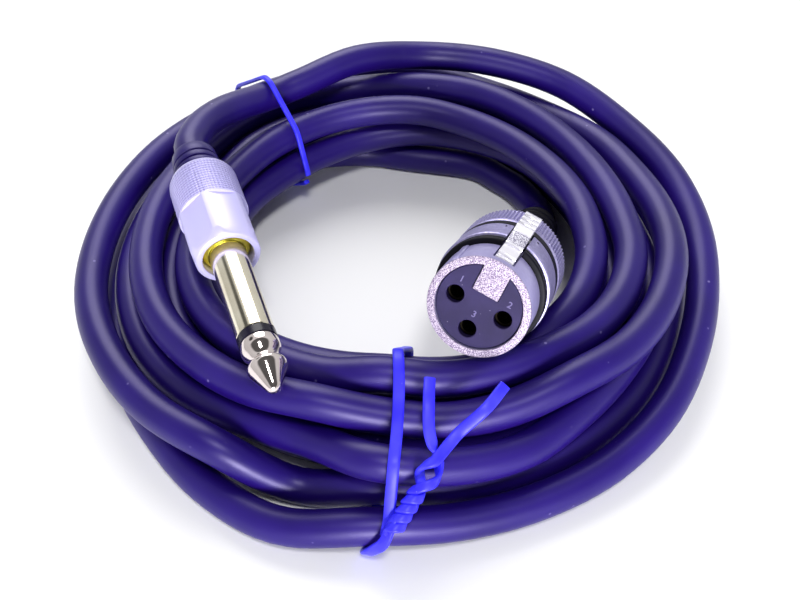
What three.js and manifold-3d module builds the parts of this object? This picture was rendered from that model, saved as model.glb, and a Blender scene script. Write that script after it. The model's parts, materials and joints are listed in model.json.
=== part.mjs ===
// Microphone lead, coiled and tied for storage: a purple jacketed cable with a
// three-pole female cable connector at one end and a 6.35 mm mono jack plug at
// the other. The coil lies flat, the connector rests in the coil's hole, the
// plug lies on top of the coil, and two plastic coated wire ties hold the coil.
// Millimetres, +Z up. The origin is on the floor, under the middle of the coil.

import * as THREE from "three";
import { mergeVertices } from "three/addons/utils/BufferGeometryUtils.js";
import Module from "manifold-3d";

const wasm = await Module();
wasm.setup();

// ---------------------------------------------------------------- dimensions

const CABLE = { diameter: 6.0, sides: 6, tailSides: 8 };
const CABLE_RADIUS = CABLE.diameter / 2;
const RUNNING_GAP = 0.3;
const ROUND = 32;

// The coil is drawn around its own centre and then moved to the origin.
const COIL_CENTRE = new THREE.Vector3(0.3, 4.78, 0);

const COIL = {
  stepsPerTurn: 24,
  firstAzimuth: 70,
  firstStep: 1,
  outwardTurns: 2.1,
  inwardTurns: 2.5,
  climbHalfTurn: 0.5,
  secondClimbDelay: 0.22,
  flat: 0.1 * CABLE.diameter,
  spacing: CABLE.diameter + 0.78,
  settleRounds: 60,
  spreadRounds: 200,
  gravity: 0.03,
  stiffness: 0.12,
  hold: 0.08,
};

// Values on the four sides of the coil, blended round it.
const INNER_RADIUS = { front: 31.2, right: 35.6, rear: 43.2, left: 36.0 };
const TURN_PITCH = { front: 6.4, right: 5.9, rear: 6.0, left: 6.9 };
const LAYER_HEIGHT = { front: 6.0, right: 6.0, rear: 6.1, left: 5.8 };
const TURN_DROOP = { front: 0.5, right: 0.2, rear: 0.0, left: 0.2 };
const LAYER_LEAN = { front: 0.9, right: 0.4, rear: 0.0, left: 0.0 };

// Where a turn is drawn aside or rides up over its neighbours:
// turn, half width in turns, radial shift, rise.
const RIDES = [
  [0.03, 0.05, -3.8, 0],
  [0.035, 0.03, -1.4, 0],
  [0.1, 0.25, 3.7, 0],
  [0.5, 0.08, -1.6, 0],
  [0.7, 0.15, -3.0, 0],
  [0.94, 0.12, 2.0, 0],
  [1.03, 0.06, 1.8, 0],
  [1.1, 0.22, 3.6, 0],
  [1.5, 0.08, -1.8, 0],
  [1.7, 0.15, -2.6, 0],
  [2.1, 0.2, 3.4, -2.0],
  [2.48, 0.055, -3.4, 1.0],
  [2.6, 0.08, 3.8, 1.4],
  [3.96, 0.09, 0.8, 2.6],
  [4.12, 0.1, -1.2, 0],
  [4.52, 0.13, -2.0, 2.6],
  [4.68, 0.06, 2.4, -0.8],
  [4.75, 0.11, 4.5, 0.5],
  [5.1, 0.18, -2.0, -1.0],
  [5.6, 0.1, -1.8, 1.0],
  [6.08, 0.2, 1.6, -0.4],
  [6.17, 0.07, 1.4, -2.0],
  [6.48, 0.06, -0.3, -2.0],
  [6.58, 0.12, -0.4, -1.4],
  [7.08, 0.2, 6.5, -2.5],
];

// Where two turns cross, and the room they get there: turn, half width, room.
const CROSSINGS = [
  [0.42, 0.1, 0.1],
  [1.85, 0.1, 0.2],
  [2.54, 0.06, 0.9],
  [3.06, 0.05, 0.2],
  [7.48, 0.08, 1.3],
  [9.06, 0.12, 1.45],
];

// The last loop is laid by hand over the others: it tucks under the loop before
// it, runs along the floor in front and climbs to the top at the rear.
// Azimuth counted on from the seventh turn, radius, height.
const LAST_LOOP_TURN = 7;
const LAST_LOOP_BLEND = 30;
const LAST_LOOP = [
  [135, 59.4, 11.5], [150, 57.4, 11.5], [172, 56.8, 10.5], [195, 56.2, 10.2], [210, 53.6, 10.4],
  [222, 51.8, 9.6], [234, 49.2, 7.6], [246, 46.6, 3.6], [256, 45.2, 3.0], [268, 44.6, 4.0],
  [280, 44.0, 3.0], [300, 44.6, 2.4],
  [330, 46.6, 2.4], [360, 49.8, 2.4], [405, 57.5, 2.4], [450, 64.8, 2.4],
  [495, 59.5, 2.4], [540, 52.0, 2.4], [565, 51.8, 2.4], [585, 51.8, 2.4],
  [600, 51.8, 2.4], [615, 52.2, 2.4], [630, 52.4, 2.4], [645, 51.6, 2.4], [660, 51.0, 2.4],
  [675, 51.0, 3.0], [690, 51.6, 4.6],
  [705, 53.6, 6.4], [720, 56.4, 8.4], [747, 61.0, 11.2], [764, 61.0, 13.0], [777, 60.2, 14.4],
  [790, 59.0, 15.4], [810, 55.0, 16.6], [820, 51.6, 17.8], [829.6, 49.4, 19.4], [842, 48.6, 21.0],
];

// The pile is lifted where a tie passes under it: azimuth, lift, half width.
const FRONT_TIE_AZIMUTH = 268;
const REAR_TIE_AZIMUTH = 124;
const TIE_LIFTS = [
  [FRONT_TIE_AZIMUTH, 2.4, 12],
  [REAR_TIE_AZIMUTH, 2.4, 14],
];

// Connector frames: face is the middle of the front rim, axis points out of it.
const XLR = {
  face: new THREE.Vector3(12.0, -29.1, 27.4),
  axis: new THREE.Vector3(-0.296, -0.858, 0.418).normalize(),
  latchSide: new THREE.Vector3(0.404, 0.284, 0.869),
  noseRadius: 8.3,
  boreRadius: 6.8,
  noseLength: 7.2,
  barrelRadius: 7.2,
  barrelEnd: 12.9,
  insertEnd: 15.4,
  gasketStart: 7.5,
  gasketEnd: 9.3,
  gasketRadius: 9.25,
  bodyStart: 9.6,
  bodyEnd: 16.3,
  bodyRadius: 9.5,
  bodyBore: 7.5,
  spigotRadius: 7.9,
  spigotEnd: 22.0,
  sealStart: 16.6,
  sealEnd: 17.9,
  sealRadius: 8.8,
  nutStart: 18.2,
  nutEnd: 26.6,
  nutRadius: 9.5,
  nutRibs: 40,
  bootEnd: 50.0,
  cableStart: 19.8,
};

const PIN = {
  circle: 4.2, hole: 1.35, pocket: 1.85, pocketStart: 2.0, contact: 1.55, bore: 1.28, boreEnd: 12.0,
  faceDepth: 1.2, end: 16.8,
};
const LATCH = { width: 3.0, slot: 3.7, pinPlace: 14.6, pinHeight: 8.2, pinRadius: 0.5, pinHole: 0.85, lug: 1.25 };

const JACK = {
  rim: new THREE.Vector3(-28.6, -13.6, 23.5),
  axis: new THREE.Vector3(0.339, -0.938, -0.045).normalize(),
  up: new THREE.Vector3(0, 0, 1),
  barrelLength: 20.7,
  barrelRadius: 6.1,
  knurlLength: 10.0,
  shaftRadius: 3.175,
  tipEnd: 29.7,
  ringStart: 18.3,
  ringEnd: 19.9,
  collarFace: -1.9,
  collarRadius: 4.0,
  bootEnd: -27.6,
  cableStart: -16.5,
};

// Free ends of the cable, as points chosen by hand between their straight ends.
const XLR_TAIL = [
  [28.6, 20.4, 3.0], [27.8, 25.0, 2.4], [25.1, 30.2, 2.4], [21.4, 34.2, 2.4], [17.0, 38.2, 2.4],
];
const JACK_TAIL = [
  [-38.7, 19.6, 24.5], [-37.6, 24.4, 23.8], [-34.8, 29.8, 22.8],
];

const TIE = { halfWidth: 1.0, halfThickness: 0.45, clearance: 0.42, twistRadius: 1.3, twistTurns: 2.5, step: 2.4 };

// Twist of the front tie and its two free ends.
const TWIST_START = new THREE.Vector3(-1.2, -57.2, 8.6);
const TWIST_END = new THREE.Vector3(5.4, -49.5, 15.5);
const TIE_END_UP = [[5.0, -46.2, 18.2], [4.4, -42.0, 21.4], [4.2, -37.4, 21.6]];
const TIE_END_SIDE = [[8.6, -45.2, 18.4], [12.4, -43.2, 21.2], [16.4, -38.8, 21.8]];

// ------------------------------------------------------------------ materials

function material(color, roughness, metalness) {
  return new THREE.MeshStandardMaterial({ color, roughness, metalness });
}

const JACKET = material(0x564990, 0.42, 0);
const BRIGHT_METAL = material(0xb9b2dc, 0.28, 0.9);
const RIM_METAL = material(0xe1d2e6, 0.5, 0.85);
const NICKEL = material(0xe6ded2, 0.18, 1);
const GOLD = material(0xd9c84a, 0.22, 1);
const SATIN = material(0xe1dcfa, 0.4, 0.7);
const DARK_PLASTIC = material(0x463e73, 0.6, 0);
const BLACK_RUBBER = material(0x15131f, 0.7, 0);
const SPRING_STEEL = material(0x9a9aa0, 0.35, 1);
const TIE_PLASTIC = material(0x504bfa, 0.35, 0);
const COPPER = material(0xb87333, 0.4, 1);

// -------------------------------------------------------------- solid helpers

function toManifold(geometry) {
  const bare = geometry.clone();
  bare.deleteAttribute("normal");
  bare.deleteAttribute("uv");
  const merged = mergeVertices(bare, 1e-4);
  return new wasm.Manifold(new wasm.Mesh({
    numProp: 3,
    vertProperties: new Float32Array(merged.attributes.position.array),
    triVerts: new Uint32Array(merged.index.array),
  }));
}

function fromManifold(solid) {
  const mesh = solid.getMesh();
  const geometry = new THREE.BufferGeometry();
  geometry.setAttribute("position", new THREE.BufferAttribute(mesh.vertProperties, 3));
  geometry.setIndex(new THREE.BufferAttribute(mesh.triVerts, 1));
  return geometry;
}

function cut(geometry, ...tools) {
  return fromManifold(tools.reduce((left, tool) => left.subtract(toManifold(tool)), toManifold(geometry)));
}

function join(geometry, ...others) {
  return fromManifold(others.reduce((left, other) => left.add(toManifold(other)), toManifold(geometry)));
}

// A solid of revolution about Z from [radius, height] points, closed on itself
// or on the axis.
function revolve(profile, segments = ROUND) {
  const points = profile.map(([radius, height]) => new THREE.Vector2(Math.max(radius, 0), height));
  if (profile[0][0] > 0) points.push(points[0].clone());
  const turned = new THREE.LatheGeometry(points, segments);
  turned.rotateX(Math.PI / 2);
  return fromManifold(orient(toManifold(turned), turned));
}

// Flips a closed surface whose faces point in.
function orient(solid, geometry) {
  if (solid.volume() > 0) return solid;
  const index = geometry.index.array;
  for (let i = 0; i < index.length; i += 3) {
    [index[i], index[i + 1]] = [index[i + 1], index[i]];
  }
  return toManifold(geometry);
}

function ring(outer, inner, start, end, segments = ROUND) {
  return revolve([[inner, start], [outer, start], [outer, end], [inner, end]], segments);
}

function rod(radius, start, end, segments = ROUND) {
  const geometry = new THREE.CylinderGeometry(radius, radius, end - start, segments);
  geometry.rotateX(Math.PI / 2);
  geometry.translate(0, 0, (start + end) / 2);
  return geometry;
}

function block(width, bottom, top, start, end) {
  const geometry = new THREE.BoxGeometry(width, top - bottom, end - start);
  geometry.translate(0, (top + bottom) / 2, (start + end) / 2);
  return geometry;
}

// A side outline in [place along Z, height along Y], extruded across X.
function strip(outline, width) {
  const shape = new THREE.Shape(outline.map(([along, height]) => new THREE.Vector2(along, height)));
  const geometry = new THREE.ExtrudeGeometry(shape, { depth: width, bevelEnabled: false });
  geometry.rotateY(-Math.PI / 2);
  geometry.translate(width / 2, 0, 0);
  return geometry;
}

// A disc with straight ribs round its edge, for a knurled grip.
function ribbed(radius, depth, ribs, start, end) {
  const shape = new THREE.Shape();
  for (let i = 0; i < ribs; i += 1) {
    const angle = (i / ribs) * 2 * Math.PI;
    const half = Math.PI / ribs;
    for (const [turn, reach] of [[-0.5, radius], [0.2, radius], [0.5, radius - depth], [1.2, radius - depth]]) {
      const x = reach * Math.cos(angle + turn * half);
      const y = reach * Math.sin(angle + turn * half);
      if (i === 0 && turn === -0.5) shape.moveTo(x, y);
      else shape.lineTo(x, y);
    }
  }
  const geometry = new THREE.ExtrudeGeometry(shape, { depth: end - start, bevelEnabled: false });
  geometry.translate(0, 0, start);
  return geometry;
}

// Corners of a tube's section, as [along its normal, along its side].
function roundSection(radius, sides) {
  return Array.from({ length: sides }, (_, k) => [
    radius * Math.cos((k / sides) * 2 * Math.PI), radius * Math.sin((k / sides) * 2 * Math.PI),
  ]);
}

function flatSection(halfThickness, halfWidth) {
  const edge = 0.55 * halfWidth;
  return [
    [0, halfWidth], [-halfThickness, edge], [-halfThickness, -edge],
    [0, -halfWidth], [halfThickness, -edge], [halfThickness, edge],
  ];
}

function acrossTangent(direction, tangent) {
  return direction.clone().addScaledVector(tangent, -direction.dot(tangent)).normalize();
}

// The normals of a tube, carried along it from one end without twisting.
function carriedNormals(tangents, firstNormal) {
  let normal = firstNormal;
  return tangents.map((tangent) => {
    normal = acrossTangent(normal, tangent);
    return normal;
  });
}

function tangentsOf(points) {
  return points.map((point, i) => {
    const before = points[Math.max(i - 1, 0)];
    const after = points[Math.min(i + 1, points.length - 1)];
    return after.clone().sub(before).normalize();
  });
}

// One closed tube through points, with flat ends.
function tube(points, section, normals) {
  const sides = section.length;
  const tangents = tangentsOf(points);
  const up = new THREE.Vector3(0, 0, 1);
  const turned = normals ?? carriedNormals(tangents, up);
  const positions = points.flatMap((point, i) => {
    const normal = acrossTangent(turned[i], tangents[i]);
    const side = tangents[i].clone().cross(normal);
    return section.flatMap(([n, w]) => point.clone().addScaledVector(normal, n).addScaledVector(side, w).toArray());
  });
  const index = [];
  for (let i = 0; i + 1 < points.length; i += 1) {
    for (let k = 0; k < sides; k += 1) {
      const a = i * sides + k;
      const b = i * sides + ((k + 1) % sides);
      index.push(a, a + sides, b, b, a + sides, b + sides);
    }
  }
  const last = (points.length - 1) * sides;
  for (let k = 1; k + 1 < sides; k += 1) {
    index.push(0, k, k + 1);
    index.push(last, last + k + 1, last + k);
  }
  const geometry = new THREE.BufferGeometry();
  geometry.setAttribute("position", new THREE.Float32BufferAttribute(positions, 3));
  geometry.setIndex(index);
  return fromManifold(orient(toManifold(geometry), geometry));
}

function smoothPoints(list, count) {
  return new THREE.CatmullRomCurve3(list, false, "centripetal").getSpacedPoints(count);
}

const assembly = new THREE.Group();

function addMesh(parent, name, geometry, look) {
  const mesh = new THREE.Mesh(geometry, look);
  mesh.name = name;
  parent.add(mesh);
  return mesh;
}

// A group whose local +Z is the connector's axis and +Y the given side.
function connectorGroup(origin, axis, side) {
  const across = side.clone().cross(axis).normalize();
  const up = axis.clone().cross(across).normalize();
  const group = new THREE.Group();
  group.quaternion.setFromRotationMatrix(new THREE.Matrix4().makeBasis(across, up, axis));
  group.position.copy(origin);
  assembly.add(group);
  return group;
}

// ----------------------------------------------------------------- coil route

const RADIANS = Math.PI / 180;

function sideValue(azimuth, values) {
  const c = Math.cos(azimuth);
  const s = Math.sin(azimuth);
  return (c > 0 ? values.right : values.left) * c * c + (s > 0 ? values.rear : values.front) * s * s;
}

function smoothStep(x) {
  const t = Math.min(Math.max(x, 0), 1);
  return t * t * (3 - 2 * t);
}

function bump(x, middle, halfWidth) {
  return Math.exp(-(((x - middle) / halfWidth) ** 2));
}

// Radial place and layer of a turn: out on the floor, in on the second layer
// and out again on the third, climbing a layer where the spiral reverses.
function spiralPlace(turn) {
  const first = COIL.outwardTurns;
  const second = first + COIL.inwardTurns;
  let place = turn;
  if (turn > first) place = first - (turn - first);
  if (turn > second) place = first - COIL.inwardTurns + (turn - second);
  const climb = (middle) => smoothStep((turn - middle) / COIL.climbHalfTurn + 0.5);
  return { place, layer: climb(first) + climb(second + COIL.secondClimbDelay) };
}

function hermite(before, from, to, after, t) {
  return 0.5 * (2 * from + (to - before) * t + (2 * before - 5 * from + 4 * to - after) * t * t
    + (3 * from - before - 3 * to + after) * t * t * t);
}

function lastLoopPlace(degrees) {
  const knots = LAST_LOOP;
  const end = knots.length - 1;
  let i = 0;
  while (i < end - 1 && degrees > knots[i + 1][0]) i += 1;
  const t = Math.min(Math.max((degrees - knots[i][0]) / (knots[i + 1][0] - knots[i][0]), 0), 1);
  return [1, 2].map((k) => hermite(
    knots[Math.max(i - 1, 0)][k], knots[i][k], knots[i + 1][k], knots[Math.min(i + 2, end)][k], t,
  ));
}

function layCoil() {
  const lastDegrees = LAST_LOOP[LAST_LOOP.length - 1][0];
  const turns = LAST_LOOP_TURN + (lastDegrees - COIL.firstAzimuth) / 360;
  const count = Math.round(turns * COIL.stepsPerTurn) + 1 - COIL.firstStep;
  return Array.from({ length: count }, (_, i) => {
    const turn = (i + COIL.firstStep) / COIL.stepsPerTurn;
    const degrees = COIL.firstAzimuth + 360 * turn;
    const azimuth = degrees * RADIANS;
    const { place, layer } = spiralPlace(turn);
    let radius = sideValue(azimuth, INNER_RADIUS) + place * sideValue(azimuth, TURN_PITCH)
      + (layer - 1) * sideValue(azimuth, LAYER_LEAN);
    let height = CABLE_RADIUS - COIL.flat + layer * sideValue(azimuth, LAYER_HEIGHT)
      - place * layer * sideValue(azimuth, TURN_DROOP);
    for (const [middle, halfWidth, shift, rise] of RIDES) {
      const share = bump(turn, middle, halfWidth);
      radius += share * shift;
      height += share * rise;
    }
    const onward = degrees - 360 * LAST_LOOP_TURN;
    const blend = smoothStep((onward - LAST_LOOP[0][0]) / LAST_LOOP_BLEND + 1);
    const [lastRadius, lastHeight] = lastLoopPlace(onward);
    radius += blend * (lastRadius - radius);
    height += blend * (lastHeight - height);
    return { turn, azimuth, radius, height };
  });
}

function spacingAt(turn) {
  return COIL.spacing + CROSSINGS.reduce((sum, [middle, half, room]) => sum + room * bump(turn, middle, half), 0);
}

function floorAt(azimuth) {
  const turned = (degrees) => Math.atan2(Math.sin(azimuth - degrees * RADIANS), Math.cos(azimuth - degrees * RADIANS));
  return TIE_LIFTS.reduce(
    (height, [degrees, lift, half]) => height + lift * bump(turned(degrees) / RADIANS, 0, half),
    CABLE_RADIUS - COIL.flat,
  );
}

// Pushes apart the turns that are too close at each station round the coil.
function spreadTurns(points) {
  let worst = 0;
  for (let station = 0; station < COIL.stepsPerTurn; station += 1) {
    for (let i = station; i < points.length; i += COIL.stepsPerTurn) {
      for (let j = i + COIL.stepsPerTurn; j < points.length; j += COIL.stepsPerTurn) {
        const across = points[j].radius - points[i].radius;
        const above = points[j].height - points[i].height;
        const distance = Math.hypot(across, above);
        const wanted = Math.max(spacingAt(points[i].turn), spacingAt(points[j].turn));
        if (distance < wanted) {
          const share = (0.5 * (wanted - distance)) / distance;
          points[i].radius -= share * across;
          points[i].height -= share * above;
          points[j].radius += share * across;
          points[j].height += share * above;
          worst = Math.max(worst, wanted - distance);
        }
      }
    }
  }
  for (const point of points) point.height = Math.max(point.height, floorAt(point.azimuth));
  return worst;
}

// Lets the laid turns sink and nest until none is closer than its spacing.
function settleCoil(laid) {
  let points = laid.map((point) => ({ ...point }));
  for (let round = 0; round < COIL.settleRounds; round += 1) {
    points = points.map((point, i) => {
      const before = points[Math.max(i - 1, 0)];
      const after = points[Math.min(i + 1, points.length - 1)];
      const stiff = i > 0 && i + 1 < points.length ? COIL.stiffness : 0;
      const eased = (key) => point[key] + stiff * ((before[key] + after[key]) / 2 - point[key]);
      const held = (key) => eased(key) + COIL.hold * (laid[i][key] - eased(key));
      return { ...point, radius: held("radius"), height: held("height") - COIL.gravity };
    });
    for (let pass = 0; pass < 3; pass += 1) spreadTurns(points);
  }
  for (let round = 0; round < COIL.spreadRounds; round += 1) {
    if (spreadTurns(points) < 0.003) break;
  }
  return points;
}

function onCoil(radius, height, azimuth) {
  return new THREE.Vector3(radius * Math.cos(azimuth), radius * Math.sin(azimuth), height);
}

// Least gap between turns, measured on points along the straight steps.
function leastGap(points) {
  const divisions = 6;
  const dense = [];
  for (let i = 0; i + 1 < points.length; i += 1) {
    for (let k = 0; k < divisions; k += 1) dense.push(points[i].clone().lerp(points[i + 1], k / divisions));
  }
  const apart = 2 * divisions;
  let least = Infinity;
  for (let i = 0; i < dense.length; i += 1) {
    for (let j = i + apart; j < dense.length; j += 1) {
      least = Math.min(least, dense[i].distanceTo(dense[j]));
    }
  }
  return least - CABLE.diameter;
}

const coilStations = settleCoil(layCoil());
const coilPoints = coilStations.map(({ radius, height, azimuth }) => onCoil(radius, height, azimuth));
console.log(`coil: ${((coilPoints.length - 1) / COIL.stepsPerTurn).toFixed(2)} turns, `
  + `least gap ${leastGap(coilPoints).toFixed(2)} mm`);

// A coil end runs straight for one diameter before it meets the free cable.
function straightEnd(points) {
  const [end, next] = points;
  const lead = end.clone().sub(next).normalize().multiplyScalar(CABLE.diameter);
  return end.clone().add(lead);
}

const coilStart = straightEnd(coilPoints);
const coilFinish = straightEnd([...coilPoints].reverse());
const coilPath = [coilStart, ...coilPoints, coilFinish];
console.log(`coil ends: ${[coilStart, coilFinish].map((end) => end.toArray().map((v) => v.toFixed(1)).join(" ")).join(", ")}`);

function underFloor() {
  const geometry = new THREE.BoxGeometry(200, 200, 10);
  geometry.translate(0, 0, -5);
  return geometry;
}

function buildCoil() {
  const upright = coilPath.map(() => new THREE.Vector3(0, 0, 1));
  const wound = tube(coilPath, roundSection(CABLE_RADIUS, CABLE.sides), upright);
  addMesh(assembly, "cable_coil", cut(wound, underFloor()), JACKET);
}

// ----------------------------------------------------------------- free ends

function alongAxis(origin, axis, distance) {
  return origin.clone().addScaledVector(axis, distance);
}

function toVectors(list) {
  return list.map(([x, y, z]) => new THREE.Vector3(x, y, z));
}

// From inside a connector, straight out of its boot, to the coil's end.
function tailPoints(inner, outer, route, coilEnd, coilNeighbour) {
  const leaving = coilEnd.clone().sub(coilNeighbour).normalize();
  const meet = coilEnd.clone().addScaledVector(leaving, RUNNING_GAP);
  const lead = meet.clone().addScaledVector(leaving, CABLE_RADIUS);
  const free = smoothPoints([outer, ...toVectors(route), lead], 3 * (route.length + 1));
  return [inner, ...free, meet];
}

function buildTails() {
  const xlrInner = alongAxis(XLR.face, XLR.axis, -XLR.cableStart);
  const xlrOuter = alongAxis(XLR.face, XLR.axis, -XLR.bootEnd - CABLE_RADIUS);
  const xlrTail = tailPoints(xlrInner, xlrOuter, XLR_TAIL, coilStart, coilPoints[0]);
  const xlrTube = tube(xlrTail, roundSection(CABLE_RADIUS, CABLE.tailSides));
  addMesh(assembly, "cable_tail_xlr", cut(xlrTube, underFloor()), JACKET);
  const jackInner = alongAxis(JACK.rim, JACK.axis, JACK.cableStart);
  const jackOuter = alongAxis(JACK.rim, JACK.axis, JACK.bootEnd - CABLE_RADIUS);
  const jackTail = tailPoints(jackInner, jackOuter, JACK_TAIL, coilFinish, coilPoints[coilPoints.length - 1]);
  addMesh(assembly, "cable_tail_jack", tube(jackTail, roundSection(CABLE_RADIUS, CABLE.tailSides)), JACKET);
  return { xlrTail, jackTail };
}

// ------------------------------------------------------------- xlr connector

function xlrNose() {
  const { noseRadius, boreRadius, noseLength, barrelRadius, barrelEnd } = XLR;
  const shell = revolve([
    [boreRadius, 0], [noseRadius - 0.35, 0], [noseRadius, -0.4], [noseRadius, -noseLength],
    [barrelRadius, -noseLength], [barrelRadius, -barrelEnd], [boreRadius, -barrelEnd],
  ], 40);
  const key = block(4.8, 2.1, boreRadius + 0.25, -6.2, -0.35);
  const latchPocket = block(LATCH.slot, noseRadius - 1.05, noseRadius + 2, -noseLength - 1, -1.6);
  const rib = block(1.1, noseRadius - 0.5, noseRadius + 0.35, -noseLength, -0.7);
  rib.rotateZ(52 * RADIANS);
  return cut(join(shell, key, rib), latchPocket);
}

function pinPlaces() {
  return [180, 0, 270].map((degrees) => [
    PIN.circle * Math.cos(degrees * RADIANS), PIN.circle * Math.sin(degrees * RADIANS),
  ]);
}

function xlrInsert() {
  const radius = XLR.boreRadius - RUNNING_GAP;
  const body = rod(radius, -XLR.insertEnd, -PIN.faceDepth);
  const keySlot = block(5.4, 1.75, radius + 1, -6.6, 0);
  const holes = pinPlaces().map(([x, y]) => {
    const hole = revolve([
      [0, 0], [PIN.hole, 0], [PIN.hole, -PIN.pocketStart], [PIN.pocket, -PIN.pocketStart],
      [PIN.pocket, -XLR.insertEnd - 1], [0, -XLR.insertEnd - 1],
    ], 16);
    hole.translate(x, y, 0);
    return hole;
  });
  return cut(body, keySlot, ...holes);
}

function xlrContact([x, y]) {
  const front = -PIN.pocketStart - RUNNING_GAP;
  const contact = revolve([
    [0, -PIN.boreEnd], [PIN.bore, -PIN.boreEnd], [PIN.bore, front], [PIN.contact, front],
    [PIN.contact, -14.6], [1.15, -14.9], [1.15, -PIN.end], [0, -PIN.end],
  ], 16);
  const slit = block(0.4, 0, 2, -7.5, 0);
  contact.translate(x, y, 0);
  slit.translate(x, y, 0);
  return cut(contact, slit);
}

// A rod across the latch, at its pivot.
function latchCrossRod(radius, length) {
  const geometry = new THREE.CylinderGeometry(radius, radius, length, 12);
  geometry.rotateZ(Math.PI / 2);
  geometry.translate(0, LATCH.pinHeight, -LATCH.pinPlace);
  return geometry;
}

function xlrBody() {
  const { bodyRadius, bodyBore, bodyStart, bodyEnd, spigotRadius, spigotEnd } = XLR;
  const shell = revolve([
    [bodyBore, -bodyStart], [bodyRadius - 0.5, -bodyStart], [bodyRadius, -bodyStart - 0.6],
    [bodyRadius, -12.0], [bodyRadius - 0.35, -12.4], [bodyRadius - 0.35, -14.8],
    [bodyRadius + 0.1, -15.4], [bodyRadius + 0.1, -bodyEnd], [spigotRadius, -bodyEnd],
    [spigotRadius, -spigotEnd], [6.9, -spigotEnd], [6.9, -bodyEnd - 0.4], [bodyBore, -bodyEnd - 0.4],
  ], 40);
  const latchSlot = block(LATCH.slot, 7.0, bodyRadius + 2, -bodyEnd, -bodyStart + 1);
  return cut(shell, latchSlot, latchCrossRod(LATCH.pinHole, 6.2));
}

function xlrRearNut() {
  const { nutRadius, nutStart, nutEnd, nutRibs, spigotRadius } = XLR;
  const grip = ribbed(nutRadius, 0.35, nutRibs, -nutEnd + 1.2, -nutStart - 0.5);
  const skirt = revolve([
    [0, -nutStart], [nutRadius - 0.5, -nutStart], [nutRadius - 0.3, -nutStart - 0.6],
    [nutRadius - 0.3, -nutEnd + 1.0], [nutRadius - 1.4, -nutEnd], [0, -nutEnd],
  ]);
  const thread = rod(spigotRadius + 0.35, -nutEnd + 2.0, -nutStart + 1);
  const mouth = rod(6.1, -nutEnd - 1, -nutStart);
  return cut(join(skirt, grip), thread, mouth);
}

function xlrLatchLever() {
  const lug = [210, 240, 270, 300, 330].map((degrees) => [
    -LATCH.pinPlace + LATCH.lug * Math.cos(degrees * RADIANS),
    LATCH.pinHeight + LATCH.lug * Math.sin(degrees * RADIANS),
  ]);
  const ribs = [-13.6, -15.3, -17.0, -18.7].flatMap((start) => [
    [start, 11.0], [start - 1.0, 11.0], [start - 1.25, 10.6], [start - 1.5, 10.6],
  ]);
  const outline = [
    [-1.9, 7.6], [-1.9, 8.2], [-2.4, 8.55], [-7.0, 8.55], [-7.4, 9.6], [-12.3, 9.6], [-12.9, 10.8],
    ...ribs, [-20.5, 11.0], [-21.2, 10.9], [-21.4, 10.5], [-21.4, 10.0], [-17.6, 10.0], [-16.8, 9.5], [-15.85, 9.3],
    [-15.85, LATCH.pinHeight], ...lug, [-13.3, 7.6], [-12.6, 7.6], [-12.4, 8.5], [-8.6, 8.5], [-8.4, 7.6],
  ];
  return cut(strip(outline, LATCH.width), latchCrossRod(LATCH.pinHole, 10));
}

function xlrLatchPin() {
  return latchCrossRod(LATCH.pinRadius, 5.6);
}

function xlrLatchSpring() {
  return strip([
    [-8.8, 8.05], [-8.8, 8.18], [-10.6, 7.75], [-12.2, 7.75], [-12.2, 7.55], [-10.5, 7.55],
  ], 2.2);
}

function xlrChuck() {
  const { spigotEnd } = XLR;
  const collet = revolve([
    [3.4, -20.2], [6.5, -20.2], [6.5, -spigotEnd - 0.3], [7.6, -spigotEnd - 0.3],
    [7.6, -23.2], [3.4, -23.2],
  ], 24);
  const slits = [0, 90].map((degrees) => {
    const slit = new THREE.BoxGeometry(20, 1.0, 3.0);
    slit.rotateZ(degrees * RADIANS);
    slit.translate(0, 0, -20.2);
    return slit;
  });
  return cut(collet, ...slits);
}

function xlrBoot() {
  const { nutEnd, bootEnd } = XLR;
  const profile = [
    [3.4, -23.5], [7.6, -23.5], [7.6, -24.3], [5.8, -24.3],
    [5.8, -nutEnd - 0.3], [6.3, -nutEnd - 0.7], [6.0, -33.0],
  ];
  const grooves = 4;
  const pitch = (bootEnd - 34.0) / grooves;
  for (let i = 0; i < grooves; i += 1) {
    const start = -34.0 - i * pitch;
    const outer = 5.8 - 0.4 * i;
    profile.push([outer, start], [outer - 0.75, start - 0.5], [outer - 0.75, start - 1.5], [outer - 0.1, start - 2.0]);
  }
  profile.push([4.2, -bootEnd], [3.4, -bootEnd]);
  return revolve(profile, 24);
}

function xlrWire([x, y], turnAngle) {
  const end = new THREE.Vector3(1.3 * Math.cos(turnAngle), 1.3 * Math.sin(turnAngle), -XLR.cableStart + 0.35);
  const start = new THREE.Vector3(x, y, -PIN.end - 0.35);
  const leave = start.clone().add(new THREE.Vector3(0, 0, -0.6));
  const arrive = end.clone().add(new THREE.Vector3(0, 0, 0.6));
  return tube(smoothPoints([start, leave, arrive, end], 5), roundSection(0.45, 6));
}

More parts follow.
